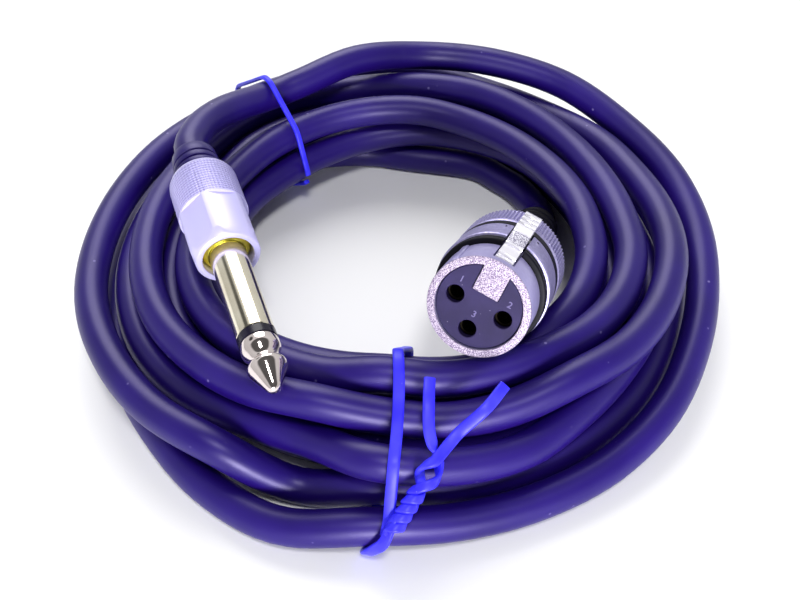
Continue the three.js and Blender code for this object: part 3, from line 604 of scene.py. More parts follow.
def rod(
    name: str, radius: float, start: Sequence[float], end: Sequence[float], sides: int = 24
) -> bpy.types.Object:
    """Make a round rod between two points.

    Args:
        name: name of the piece.
        radius: its radius.
        start: middle of one end.
        end: middle of the other end.
        sides: sides of the rod.

    Returns:
        The rod, in millimetres.
    """
    deselect_all()
    a, b = Vector(start), Vector(end)
    turn = Vector((0, 0, 1)).rotation_difference(b - a).to_euler()
    bpy.ops.mesh.primitive_cylinder_add(
        vertices=sides, radius=radius, depth=(b - a).length, location=(a + b) / 2, rotation=turn
    )
    piece = bpy.context.object
    piece.name = piece.data.name = name
    bpy.ops.object.transform_apply(location=True, rotation=True, scale=True)
    return piece


def side_cut(name: str, outline: Sequence[Corner], width: float) -> bpy.types.Object:
    """Cut a shape from a side outline and give it a width across X.

    Args:
        name: name of the piece.
        outline: corners as place along Z and height along Y.
        width: width across X.

    Returns:
        The closed solid, in millimetres.
    """
    deselect_all()
    bpy.ops.mesh.primitive_circle_add(
        vertices=len(outline), radius=1, location=(0, 0, 0), fill_type="NGON"
    )
    piece = bpy.context.object
    piece.name = piece.data.name = name
    for corner, (along, height) in zip(piece.data.vertices, outline):
        corner.co = (-width / 2, height, along)
    bpy.ops.object.mode_set(mode="EDIT")
    bpy.ops.mesh.select_all(action="SELECT")
    bpy.ops.mesh.extrude_region_move(TRANSFORM_OT_translate={"value": (width, 0, 0)})
    bpy.ops.object.mode_set(mode="OBJECT")
    tidy_surface(piece)
    return piece


def combine(piece: bpy.types.Object, joining: Joining, *tools: bpy.types.Object) -> None:
    """Cut tools from a piece or fuse them to it, and use them up.

    Args:
        piece: the piece that is kept.
        joining: whether the tools are cut away or fused.
        *tools: the other solids.
    """
    for tool in tools:
        apply_modifier(piece, "BOOLEAN", operation=joining.value, object=tool, solver="EXACT")
        bpy.data.objects.remove(tool, do_unlink=True)


def turn_tool(tool: bpy.types.Object, angle: float) -> None:
    """Turn a tool round the piece's axis.

    Args:
        tool: the tool.
        angle: how far, in radians.
    """
    take_up(tool)
    tool.rotation_euler = (0, 0, angle)
    bpy.ops.object.transform_apply(rotation=True)


def press_grooves(
    piece: bpy.types.Object, count: int, depth: float, low: float, high: float, radius: float
) -> None:
    """Press straight grooves into a turned grip.

    Args:
        piece: a turned piece with four sides for each groove.
        count: number of grooves.
        depth: how deep they go.
        low: lowest height of the grip.
        high: highest height of the grip.
        radius: radius of the grip.
    """
    slack = 1e-3
    wall = 0.05
    sunk = (2, 3)  # two of the four corners of each groove's share
    take_up(piece)
    for corner in piece.data.vertices:
        x, y, z = corner.co
        reach = math.hypot(x, y)
        phase = round(math.atan2(y, x) / (2 * math.pi) * 4 * count) % 4
        if low - slack <= z <= high + slack and reach > radius - wall and phase in sunk:
            corner.co.x *= (reach - depth) / reach
            corner.co.y *= (reach - depth) / reach


def soften(piece: bpy.types.Object, width: float = 0.0) -> None:
    """Break the sharp edges of a piece and shade it by angle.

    Args:
        piece: the piece, in millimetres.
        width: width of the broken edges; 0 leaves them sharp.
    """
    if width > 0:
        apply_modifier(
            piece, "BEVEL", width=width, segments=2, limit_method="ANGLE",
            angle_limit=math.radians(30), use_clamp_overlap=True,
        )
    take_up(piece)
    bpy.ops.object.shade_smooth_by_angle(angle=math.radians(Look.CAST.value))


def seat_piece(piece: bpy.types.Object, matrix: Matrix) -> None:
    """Place a finished piece and leave its object at the origin.

    Args:
        piece: the piece, in the connector's millimetres.
        matrix: from there to the scene's metres.
    """
    take_up(piece)
    piece.matrix_world = matrix
    bpy.ops.object.transform_apply(location=True, rotation=True, scale=True)


def report(
    piece: bpy.types.Object, body: Body, slot: str, finish: bpy.types.Material, *nodes: str
) -> None:
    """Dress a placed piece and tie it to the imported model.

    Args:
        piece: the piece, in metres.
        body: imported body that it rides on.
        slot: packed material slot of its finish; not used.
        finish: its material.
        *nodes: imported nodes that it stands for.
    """
    piece.data.materials.clear()
    piece.data.materials.append(finish)
    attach(piece, body.value)
    if nodes:
        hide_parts(*nodes)
    LOG.info("%s: %d faces on %s", piece.name, len(piece.data.polygons), body.value)


def strip_mesh(
    name: str,
    points: Sequence[Vector],
    normals: Sequence[Vector],
    section: Sequence[Corner],
    widths: Sequence[float] | None = None,
) -> bpy.types.Object:
    """Sweep a section along points, with closed ends, on or above the floor.

    Args:
        name: name of the piece.
        points: middle line, in metres.
        normals: direction of the section's first axis at each point.
        section: corners, as metres along the normal and along the side.
        widths: how much of the section's width is left at each point.

    Returns:
        The swept piece, in metres, with a UV map of turn and length.
    """
    sides = len(section)
    corners: list[Vector] = []
    lengths = [0.0]
    for i, point in enumerate(points):
        tangent = (points[min(i + 1, len(points) - 1)] - points[max(i - 1, 0)]).normalized()
        normal = (normals[i] - tangent * normals[i].dot(tangent)).normalized()
        side = tangent.cross(normal)
        for n, w in section:
            corner = point + normal * n + side * w * (widths[i] if widths else 1.0)
            corner.z = max(corner.z, 0.0)
            corners.append(corner)
        if i:
            lengths.append(lengths[-1] + (point - points[i - 1]).length)
    faces: list[tuple[int, ...]] = []
    for i in range(len(points) - 1):
        for k in range(sides):
            a, b = i * sides + k, i * sides + (k + 1) % sides
            faces.append((a, b, b + sides, a + sides))
    last = (len(points) - 1) * sides
    faces.append(tuple(range(sides - 1, -1, -1)))
    faces.append(tuple(last + k for k in range(sides)))
    mesh = bpy.data.meshes.new(name)
    mesh.from_pydata(corners, [], faces)
    layer = mesh.uv_layers.new(name="run")
    for face in mesh.polygons:
        for loop in face.loop_indices:
            i, k = divmod(mesh.loops[loop].vertex_index, sides)
            turn = k / sides
            closes = max(v % sides for v in face.vertices) == sides - 1
            if len(face.vertices) == 4 and k == 0 and closes:
                turn = 1.0
            layer.data[loop].uv = (turn, lengths[i])
    piece = bpy.data.objects.new(name, mesh)
    bpy.context.scene.collection.objects.link(piece)
    tidy_surface(piece, merge=1e-8)
    bpy.ops.object.shade_smooth()
    bpy.ops.object.shade_smooth_by_angle(angle=math.radians(Look.DRAWN.value))
    return piece


def round_section(radius: float, sides: int) -> list[Corner]:
    """Give the corners of a round section."""
    angles = [2 * math.pi * k / sides for k in range(sides)]
    return [(radius * math.cos(a), radius * math.sin(a)) for a in angles]


def carried_normals(points: Sequence[Vector], first: Vector) -> list[Vector]:
    """Carry a direction along a line without twisting it.

    Args:
        points: the line.
        first: direction at its start.

    Returns:
        The direction at each point.
    """
    normals = []
    normal = first
    for i in range(len(points)):
        tangent = (points[min(i + 1, len(points) - 1)] - points[max(i - 1, 0)]).normalized()
        normal = (normal - tangent * normal.dot(tangent)).normalized()
        normals.append(normal)
    return normals


# -------------------------------------------------------------------- finishes


class NodePad:
    """A short hand for building a node tree."""

    def __init__(self, tree: bpy.types.NodeTree) -> None:
        """Start on a tree that is already empty."""
        self.tree = tree

    def link(self, value: object, socket: bpy.types.NodeSocket) -> None:
        """Wire an input to another socket, or set it to a plain value.

        Args:
            value: the other socket or the value.
            socket: the input.
        """
        if isinstance(value, bpy.types.NodeSocket):
            self.tree.links.new(value, socket)
        else:
            socket.default_value = value

    def add(
        self, kind: str, settings: dict[str, object] | None = None, **inputs: object
    ) -> bpy.types.Node:
        """Add a node, set it and wire its inputs.

        Args:
            kind: type of the node.
            settings: attributes of the node.
            **inputs: values or sockets by input name, with _ for a blank;
                a name like in0 counts inputs.

        Returns:
            The node.
        """
        node = self.tree.nodes.new(kind)
        for name, value in (settings or {}).items():
            setattr(node, name, value)
        for name, value in inputs.items():
            key: object = name.replace("_", " ")
            if name.startswith("in") and name[2:].isdigit():
                key = int(name[2:])
            self.link(value, node.inputs[key])
        return node

    def operate(self, operation: str, a: object, b: object = 0.0) -> bpy.types.NodeSocket:
        """Apply an operation to one or two values.

        Args:
            operation: Blender's name of the operation.
            a: first value or socket.
            b: second value or socket.

        Returns:
            The result.
        """
        return self.add("ShaderNodeMath", {"operation": operation}, in0=a, in1=b).outputs[0]

    def times(self, a: object, b: object) -> bpy.types.NodeSocket:
        """Multiply two values."""
        return self.operate("MULTIPLY", a, b)

    def plus(self, a: object, b: object) -> bpy.types.NodeSocket:
        """Add two values."""
        return self.operate("ADD", a, b)

    def less(self, a: object, b: object) -> bpy.types.NodeSocket:
        """Take the second value from the first."""
        return self.operate("SUBTRACT", a, b)

    def ramp(self, value: object, low: float, high: float) -> bpy.types.NodeSocket:
        """Stretch a value so that low gives 0 and high gives 1.

        Args:
            value: the value's socket.
            low: what becomes 0.
            high: what becomes 1.

        Returns:
            The stretched value, kept between 0 and 1.
        """
        node = self.add(
            "ShaderNodeMapRange", {"clamp": True}, Value=value, From_Min=low, From_Max=high
        )
        return node.outputs[0]

    def band(self, place: object, low: float, high: float, edge: float) -> bpy.types.NodeSocket:
        """Give 1 along a stretch of an axis and 0 outside it.

        Args:
            place: place along the axis, in metres.
            low: lower end, in millimetres.
            high: upper end, in millimetres.
            edge: width of the soft edges inside the ends.

        Returns:
            The mask.
        """
        return self.times(
            self.ramp(place, low * MM, (low + edge) * MM),
            self.ramp(place, high * MM, (high - edge) * MM),
        )

    def noise(self, place: object, scale: object, detail: float) -> bpy.types.NodeSocket:
        """Read a noise.

        Args:
            place: where it is read.
            scale: its scale.
            detail: how many finer noises it holds.

        Returns:
            The noise, from 0 to 1.
        """
        node = self.add("ShaderNodeTexNoise", Vector=place, Scale=scale, Detail=detail)
        return node.outputs[0]

    def blend(self, share: object, a: object, b: object) -> bpy.types.NodeSocket:
        """Mix two colours.

        Args:
            share: how much of the second.
            a: first colour, as a socket or a screen colour.
            b: second colour.

        Returns:
            The mixed colour.
        """
        node = self.add("ShaderNodeMix", {"data_type": "RGBA"})
        for index, value in ((0, share), (6, a), (7, b)):
            self.link(colour(*value) if isinstance(value, tuple) else value, node.inputs[index])
        return node.outputs[2]


def colour(red: int, green: int, blue: int) -> tuple[float, float, float, float]:
    """Turn a screen colour into Blender's linear one.

    Args:
        red: the red share, from 0 to 255.
        green: the green share.
        blue: the blue share.

    Returns:
        The linear colour, fully opaque.
    """
    def linear(v: float) -> float:
        """Undo the screen's curve for one channel."""
        v /= 255
        return v / 12.92 if v <= 0.04045 else ((v + 0.055) / 1.055) ** 2.4

    return (linear(red), linear(green), linear(blue), 1.0)


def new_group(
    name: str, inputs: dict[str, float], output_names: Sequence[str]
) -> tuple[NodePad, bpy.types.Node, bpy.types.Node]:
    """Start a shader node group that reads a place and some sizes.

    Args:
        name: name of the group.
        inputs: its number inputs and their usual values.
        output_names: its number outputs.

    Returns:
        The group's pad, its input node and its output node.
    """
    tree = bpy.data.node_groups.new(name, "ShaderNodeTree")
    tree.interface.new_socket("Place", in_out="INPUT", socket_type="NodeSocketVector")
    for key, value in inputs.items():
        socket = tree.interface.new_socket(key, in_out="INPUT", socket_type="NodeSocketFloat")
        socket.default_value = value
    for key in output_names:
        tree.interface.new_socket(key, in_out="OUTPUT", socket_type="NodeSocketFloat")
    pad = NodePad(tree)
    return pad, pad.add("NodeGroupInput"), pad.add("NodeGroupOutput")


class Effects:
    """The node groups that more than one finish uses."""

    def __init__(self) -> None:
        """Build each group once."""
        self.grain = self._grain()
        self.scuffs = self._scuffs()
        self.dust = self._dust()

    def _grain(self) -> bpy.types.NodeTree:
        """Build a grain of a fine and a coarse noise.

        Returns:
            The group, with the grain's height and its speckle.
        """
        pad, start, end = new_group("Fine grain", {"Scale": 4000.0}, ("Height", "Speckle"))
        place, scale = start.outputs["Place"], start.outputs["Scale"]
        fine = pad.noise(place, scale, 3.0)
        coarse = pad.noise(place, pad.times(scale, 0.22), 2.0)
        height = pad.plus(pad.times(fine, 0.65), pad.times(coarse, 0.35))
        pad.link(height, end.inputs["Height"])
        pad.link(pad.ramp(fine, 0.42, 0.62), end.inputs["Speckle"])
        return pad.tree

    def _scuffs(self) -> bpy.types.NodeTree:
        """Build sparse fine scratches in two directions.

        Returns:
            The group, with the scratches' mask.
        """
        pad, start, end = new_group("Handling scuffs", {"Scale": 300.0, "Amount": 0.5}, ("Mask",))
        place, scale = start.outputs["Place"], start.outputs["Scale"]
        masks = []
        for angle in (0.4, 1.9):
            lean = pad.add(
                "ShaderNodeMapping", Vector=place, Scale=(1.0, 0.04, 1.0),
                Rotation=(angle, angle * 0.7, angle * 1.3),
            )
            masks.append(pad.ramp(pad.noise(lean.outputs[0], scale, 4.0), 0.64, 0.72))
        patches = pad.ramp(pad.noise(place, 90.0, 2.0), 0.42, 0.66)
        both = pad.times(pad.operate("MAXIMUM", *masks), patches)
        pad.link(pad.times(both, start.outputs["Amount"]), end.inputs["Mask"])
        return pad.tree

    def _dust(self) -> bpy.types.NodeTree:
        """Build small sparse specks.

        Returns:
            The group, with the specks' mask.
        """
        pad, start, end = new_group("Specks", {"Scale": 900.0, "Amount": 0.5}, ("Mask",))
        cells = pad.add(
            "ShaderNodeTexVoronoi", Vector=start.outputs["Place"], Scale=start.outputs["Scale"]
        )
        chosen = pad.add("ShaderNodeSeparateColor", Color=cells.outputs["Color"])
        few = pad.ramp(chosen.outputs[0], 0.93, 0.96)
        spots = pad.ramp(cells.outputs["Distance"], 0.16, 0.08)
        pad.link(pad.times(pad.times(few, spots), start.outputs["Amount"]), end.inputs["Mask"])
        return pad.tree


@dataclass
class Surface:
    """A material in the making: its pad, shader and object place."""

    material: bpy.types.Material
    pad: NodePad
    shader: bpy.types.Node
    place: bpy.types.NodeSocket

    @classmethod
    def start(cls, name: str, **plain: object) -> "Surface":
        """Open a new material.

        Args:
            name: name of the material.
            **plain: values set on the shader's own sockets.

        Returns:
            The open surface.
        """
        material = bpy.data.materials.new(name)
        material.use_nodes = True
        material.node_tree.nodes.clear()
        pad = NodePad(material.node_tree)
        shader = pad.add("ShaderNodeBsdfPrincipled", **plain)
        pad.add("ShaderNodeOutputMaterial", Surface=shader.outputs[0])
        place = pad.add("ShaderNodeTexCoord").outputs["Object"]
        return cls(material, pad, shader, place)

    def effect(self, tree: bpy.types.NodeTree, **values: float) -> bpy.types.Node:
        """Place a node group with its own values."""
        return self.pad.add("ShaderNodeGroup", {"node_tree": tree}, Place=self.place, **values)

    def scuffs(self, effects: Effects, scale: float, amount: float) -> bpy.types.NodeSocket:
        """Place the scuffs and give their mask."""
        return self.effect(effects.scuffs, Scale=scale, Amount=amount).outputs[0]

    def patches(self, scale: float) -> bpy.types.NodeSocket:
        """Place a broad soft noise."""
        return self.pad.noise(self.place, scale, 3.0)

    def feed(self, name: str, value: bpy.types.NodeSocket) -> None:
        """Wire a changing value to the shader."""
        self.pad.link(value, self.shader.inputs[name])

    def roughen(self, least: float, *parts: tuple[bpy.types.NodeSocket, float]) -> None:
        """Set the roughness.

        Args:
            least: roughness where nothing is added.
            *parts: each a changing value and how much it adds at most.
        """
        rough: object = least
        for value, amount in parts:
            rough = self.pad.plus(self.pad.times(value, amount), rough)
        self.feed("Roughness", rough)

    def raise_by(self, height: bpy.types.NodeSocket, distance: float, strength: float) -> None:
        """Turn a height into a bump.

        Args:
            height: the height.
            distance: its full size, in millimetres.
            strength: how strongly it shows.
        """
        node = self.pad.add(
            "ShaderNodeBump", Height=height, Distance=distance * MM, Strength=strength
        )
        self.feed("Normal", node.outputs[0])

    def in_seat(self, seat: Seat) -> list[bpy.types.NodeSocket]:
        """Read the place in a connector's own axes.

        Args:
            seat: the connector's seat.

        Returns:
            The three coordinates, in metres.
        """
        placed = seat.placed()
        node = self.pad.add(
            "ShaderNodeMapping", {"vector_type": "TEXTURE"}, Vector=self.place,
            Location=placed.translation, Rotation=placed.to_euler(),
        )
        return list(self.pad.add("ShaderNodeSeparateXYZ", Vector=node.outputs[0]).outputs)


class Finish:
    """A named finish that builds its own material."""

    name: str

    def build(self, effects: Effects) -> bpy.types.Material:
        """Build the material from its colours and the shared effects."""
        raise NotImplementedError


@dataclass(frozen=True)
class JacketFinish(Finish):
    """Smooth purple jacket with faint drawing marks and a little dust."""

    name: str = "cable_jacket"
    base: Tone = (19, 0, 86)
    worn: Tone = (29, 6, 104)
    sheen: Tone = (214, 204, 255)
    speck: Tone = (130, 120, 180)

    def build(self, effects: Effects) -> bpy.types.Material:
        """Build the material.

        Args:
            effects: the shared node groups.

        Returns:
            The material.
        """
        s = Surface.start(
            self.name, Specular_IOR_Level=0.5, Specular_Tint=colour(*self.sheen),
            Coat_Roughness=0.34, Coat_Weight=0.1,
        )
        patches = s.patches(55.0)
        body = s.pad.blend(s.pad.ramp(patches, 0.35, 0.7), self.base, self.worn)
        specks = s.effect(effects.dust, Scale=520.0, Amount=0.55)
        s.feed("Base Color", s.pad.blend(specks.outputs[0], body, self.speck))
        s.roughen(0.36, (patches, 0.14), (s.scuffs(effects, 420.0, 0.6), 0.22))
        s.raise_by(s.effect(effects.grain, Scale=1500.0).outputs["Height"], 0.04, 0.35)
        return s.material


@dataclass(frozen=True)
class CastFinish(Finish):
    """Satin nickel over a casting, with grain and speckle."""

    name: str
    low: Tone
    high: Tone
    rough: float
    grain_scale: float
    depth: float
    metal: float
    scratch: Tone = (250, 246, 255)

    def build(self, effects: Effects) -> bpy.types.Material:
        """Build the material.

        Args:
            effects: the shared node groups.

        Returns:
            The material.
        """
        s = Surface.start(self.name, Metallic=self.metal)
        grain = s.effect(effects.grain, Scale=self.grain_scale)
        speckled = s.pad.blend(grain.outputs["Speckle"], self.low, self.high)
        scuffs = s.scuffs(effects, 600.0, 0.5)
        s.feed("Base Color", s.pad.blend(scuffs, speckled, self.scratch))
        s.roughen(self.rough - 0.1, (s.patches(140.0), 0.2))
        s.raise_by(grain.outputs["Height"], self.depth, 0.6)
        return s.material


@dataclass(frozen=True)
class NoseFinish(Finish):
    """Nickel over a casting: speckled on the ground front, satin behind."""

    seat: Seat
    name: str = "xlr_rim_metal"
    pit: Tone = (104, 84, 124)
    ground: Tone = (222, 210, 228)
    side_low: Tone = (136, 130, 180)
    side_high: Tone = (166, 160, 206)
    scratch: Tone = (226, 220, 244)
    front: float = -0.22

    def build(self, effects: Effects) -> bpy.types.Material:
        """Build the material.

        Args:
            effects: the shared node groups.

        Returns:
            The material.
        """
        s = Surface.start(self.name, Metallic=0.25)
        z = s.in_seat(self.seat)[2]
        face = s.pad.ramp(z, (self.front - 0.1) * MM, (self.front + 0.1) * MM)
        fine = s.effect(effects.grain, Scale=6400.0)
        broad = s.effect(effects.grain, Scale=1500.0)
        speckle = s.pad.blend(fine.outputs["Speckle"], self.pit, self.ground)
        side = s.pad.blend(broad.outputs["Height"], self.side_low, self.side_high)
        side = s.pad.blend(s.scuffs(effects, 600.0, 0.45), side, self.scratch)
        s.feed("Base Color", s.pad.blend(face, side, speckle))
        s.roughen(0.32, (face, 0.22))
        s.raise_by(s.pad.times(fine.outputs["Height"], s.pad.plus(face, 0.12)), 0.12, 0.7)
        return s.material


@dataclass(frozen=True)
class LatchFinish(Finish):
    """Bright plating with a coarse cast slope behind the front plate."""

    seat: Seat
    name: str = "xlr_latch_bright"
    tone: Tone = (244, 242, 252)
    pit: Tone = (120, 114, 142)
    slope_front: float = -8.2
    slope_rear: float = -11.7

    def build(self, effects: Effects) -> bpy.types.Material:
        """Build the material.

        Args:
            effects: the shared node groups.

        Returns:
            The material.
        """
        s = Surface.start(self.name, Metallic=0.4)
        slope = s.pad.band(s.in_seat(self.seat)[2], self.slope_rear, self.slope_front, 0.2)
        grit = s.effect(effects.grain, Scale=4200.0)
        pits = s.pad.times(slope, s.pad.less(1.0, grit.outputs["Speckle"]))
        s.feed("Base Color", s.pad.blend(pits, self.tone, self.pit))
        s.roughen(0.18, (slope, 0.3), (s.scuffs(effects, 900.0, 0.3), 0.25))
        s.raise_by(s.pad.times(grit.outputs["Height"], s.pad.plus(slope, 0.05)), 0.12, 0.8)
        return s.material


@dataclass(frozen=True)
class PolishedFinish(Finish):
    """Bright plating with fine turning lines round the piece's axis."""

    name: str
    tone: Tone
    shade: Tone
    rough: float
    seat: Seat
    lines: float = 0.35

    def build(self, effects: Effects) -> bpy.types.Material:
        """Build the material.

        Args:
            effects: the shared node groups.

        Returns:
            The material.
        """
        s = Surface.start(self.name, Metallic=1.0)
        along = s.pad.add("ShaderNodeCombineXYZ", Z=s.in_seat(self.seat)[2])
        patches = s.patches(160.0)
        tone = s.pad.blend(s.pad.ramp(patches, 0.4, 0.75), self.tone, self.shade)
        s.feed("Base Color", tone)
        s.roughen(self.rough, (patches, 0.08), (s.scuffs(effects, 900.0, 0.6), 0.2))
        s.raise_by(s.pad.noise(along.outputs[0], 5200.0, 2.0), 0.01, self.lines)
        return s.material


@dataclass(frozen=True)
class BarrelFinish(Finish):
    """Pearl satin plating with a fine cross-cut grip on the rear half, its grooves darkened with
    painted shade.
    """

    seat: Seat
    name: str = "jack_satin"
    base: Tone = (196, 192, 240)
    deep: Tone = (196, 190, 240)
    # Colour of the painted shade in the grip's grooves.
    cut: Tone = (120, 110, 190)
    grip_start: float = -19.4
    grip_end: float = -10.9
    ring_pitch: float = 0.62
    ribs: int = 64
    ring_share: float = 0.72
    # How strongly the painted shade darkens the grooves.
    darkness: float = 0.7

    def build(self, effects: Effects) -> bpy.types.Material:
        """Build the material.

        Args:
            effects: the shared node groups.

        Returns:
            The material.
        """
        s = Surface.start(self.name, Metallic=0.3)
        pad = s.pad
        x, y, z = s.in_seat(self.seat)
        rings = pad.operate("SINE", pad.times(z, 2 * math.pi / (self.ring_pitch * MM)))
        ribs = pad.operate("SINE", pad.times(pad.operate("ARCTAN2", y, x), float(self.ribs)))
        cuts = pad.plus(pad.times(rings, self.ring_share), pad.times(ribs, 1 - self.ring_share))
        inside = pad.band(z, self.grip_start, self.grip_end, 0.3)
        cuts = pad.times(pad.plus(pad.times(cuts, 0.5), 0.5), inside)
        patches = pad.ramp(s.patches(120.0), 0.35, 0.75)
        # Painted shade: the bottoms of the grip's grooves are darkened towards the cut colour.
        dark = pad.times(pad.less(inside, cuts), self.darkness)
        s.feed("Base Color", pad.blend(dark, pad.blend(patches, self.base, self.deep), self.cut))
        s.roughen(0.38, (s.scuffs(effects, 700.0, 0.5), 0.2))
        s.raise_by(cuts, 0.16, 0.9)
        return s.material


@dataclass(frozen=True)
class MouldedFinish(Finish):
    """Moulded plastic or rubber with a fine matt grain."""

    name: str
    base: Tone
    light: Tone
    rough: float
    gloss: float = 0.32
    grain_scale: float = 2600.0
    depth: float = 0.03
    speck: Tone = (170, 165, 190)

    def build(self, effects: Effects) -> bpy.types.Material:
        """Build the material.

        Args:
            effects: the shared node groups.

        Returns:
            The material.
        """
        s = Surface.start(self.name, Specular_IOR_Level=self.gloss)
        grain = s.effect(effects.grain, Scale=self.grain_scale).outputs["Height"]
        body = s.pad.blend(s.pad.ramp(s.patches(220.0), 0.35, 0.75), self.base, self.light)
        specks = s.effect(effects.dust, Scale=1400.0, Amount=0.4)
        s.feed("Base Color", s.pad.blend(specks.outputs[0], body, self.speck))
        s.roughen(self.rough - 0.1, (grain, 0.2))
        s.raise_by(grain, self.depth, 0.5)
        return s.material


# ----------------------------------------------------------------- the pieces


@dataclass
class Workshop:
    """The shared effects and the finishes by packed slot."""

    effects: Effects = field(default_factory=Effects)
    finishes: dict[str, bpy.types.Material] = field(default_factory=dict)

    def prepare(self) -> None:
        """Build every finish once."""
        makers: list[Finish] = [
            JacketFinish(),
            NoseFinish(XLR_SEAT),
            LatchFinish(XLR_SEAT),
            CastFinish("xlr_body_metal", (158, 152, 198), (178, 172, 214), 0.4, 1800.0, 0.01, 0.6),
            PolishedFinish("jack_nickel", (240, 234, 214), (226, 216, 194), 0.1, JACK_SEAT),
            PolishedFinish("jack_chrome", (238, 228, 226), (220, 208, 206), 0.04, JACK_SEAT),
            PolishedFinish("jack_gold", (252, 242, 96), (236, 220, 70), 0.2, JACK_SEAT),
            # The socket contacts get dark colours as painted shade of the deep pin holes.
            PolishedFinish("contact_metal", (58, 52, 44), (40, 36, 32), 0.3, XLR_SEAT),
            PolishedFinish("spring_steel", (168, 168, 176), (130, 130, 138), 0.28, XLR_SEAT),
            PolishedFinish("copper", (190, 124, 76), (150, 92, 56), 0.35, XLR_SEAT),
            BarrelFinish(JACK_SEAT),
            MouldedFinish("xlr_insert_plastic", (36, 28, 68), (47, 38, 84), 0.45),
            MouldedFinish("xlr_digit_plastic", (104, 96, 142), (122, 114, 160), 0.45),
            MouldedFinish("chuck_plastic", (34, 31, 42), (46, 42, 54), 0.5),
            MouldedFinish("black_rubber", (8, 7, 16), (16, 14, 30), 0.5, 0.14),
            MouldedFinish("black_plastic", (14, 12, 26), (26, 22, 46), 0.25),
            MouldedFinish("tie_plastic", (42, 34, 226), (64, 60, 250), 0.4, 0.3, 900.0, 0.04),
        ]
        for maker in makers:
            self.finishes[maker.name] = maker.build(self.effects)

    def dress_nodes(self, frame: dict) -> None:
        """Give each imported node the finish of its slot.

        Args:
            frame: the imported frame, with its record and its nodes.
        """
        slots = {part["node"]: part["material_slot"] for part in frame["record"]["subparts"]}
        for name, node in frame["nodes"].items():
            for slot in node.material_slots:
                slot.material = self.finishes[slots[name]]


@dataclass(frozen=True)
class Part:
    """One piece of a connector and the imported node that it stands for."""

    make: Callable[[], bpy.types.Object]
    body: Body
    slot: str
    node: str
    finish: str = ""  # where it isn't the slot's own
    edge: float = 0.0  # width of its broken edges


def assemble(seat: Seat, shop: Workshop, parts: Sequence[Part]) -> list[bpy.types.Object]:
    """Model, place and dress the pieces of a connector.

    Args:
        seat: where the connector sits.
        shop: the finishes.
        parts: its pieces, in order.

    Returns:
        The finished pieces.
    """
    matrix = seat.placed()
    made = []
    for part in parts:
        piece = part.make()
        soften(piece, part.edge)
        seat_piece(piece, matrix)
        report(piece, part.body, part.slot, shop.finishes[part.finish or part.slot], part.node)
        made.append(piece)
    return made


@dataclass
class Cable:
    """The whole cable from the connector's boot to the plug's boot."""

    route: CoilRoute = field(default_factory=CoilRoute)
    diameter: float = CABLE_DIAMETER
    sides: int = 20
    step: float = 2.4
    xlr_tail: tuple[Knot, ...] = (
        (28.6, 20.4, 3), (27.8, 25, 2.4), (25.1, 30.2, 2.4), (21.4, 34.2, 2.4), (17, 38.2, 2.4),
    )
    jack_tail: tuple[Knot, ...] = (
        (-38.7, 19.6, 24.5), (-37.6, 24.4, 23.8), (-34.8, 29.8, 22.8),
    )
    xlr_inner: float = -40.0
    xlr_exit: float = -50.0
    xlr_outer: float = -53.0
    jack_inner: float = -23.0
    jack_outer: float = -30.6
    piece: bpy.types.Object | None = field(init=False, default=None)
    points: list[Vector] = field(init=False, default_factory=list)
    length: float = field(init=False, default=0.0)

    def coil_ends(self, points: Sequence[Vector]) -> tuple[Vector, Vector]:
        """Run each end of the coil straight on by one diameter.

        Args:
            points: the coil's points, in millimetres.

        Returns:
            The point before the coil and the point after it.
        """
        start = points[0] + (points[0] - points[1]).normalized() * self.diameter
        finish = points[-1] + (points[-1] - points[-2]).normalized() * self.diameter
        return start, finish

    def centreline(self) -> list[Vector]:
        """Join both free ends to the coil.

        Returns:
            The whole middle line, in millimetres round the coil's middle.
        """
        coil = self.route.settled()
        start, finish = self.coil_ends(coil)
        head = [XLR_SEAT.along(self.xlr_inner), XLR_SEAT.along(self.xlr_outer)]
        tail = [JACK_SEAT.along(self.jack_outer), JACK_SEAT.along(self.jack_inner)]
        return [
            *head, *(Vector(p) for p in self.xlr_tail), start, *coil, finish,
            *(Vector(p) for p in reversed(self.jack_tail)), *tail,
        ]

    def build(self, shop: Workshop) -> list[Vector]:
        """Args:
            shop: the finishes.

        Returns:
            The smooth middle line, in millimetres.
        """
        smooth = centripetal(self.centreline(), self.step)
        points = [(p - COIL_CENTRE) * MM for p in smooth]
        section = round_section(self.diameter / 2 * MM, self.sides)
        normals = carried_normals(points, Vector((0, 0, 1)))
        self.piece = strip_mesh("cable", points, normals, section)
        report(
            self.piece, Body.CORD, "cable_jacket", shop.finishes["cable_jacket"],
            "cable_coil", "cable_tail_xlr", "cable_tail_jack",
        )
        self.points = points
        self.length = sum((b - a).length for a, b in zip(points, points[1:]))
        LOG.info("cable: %.3f m long", self.length)
        return smooth


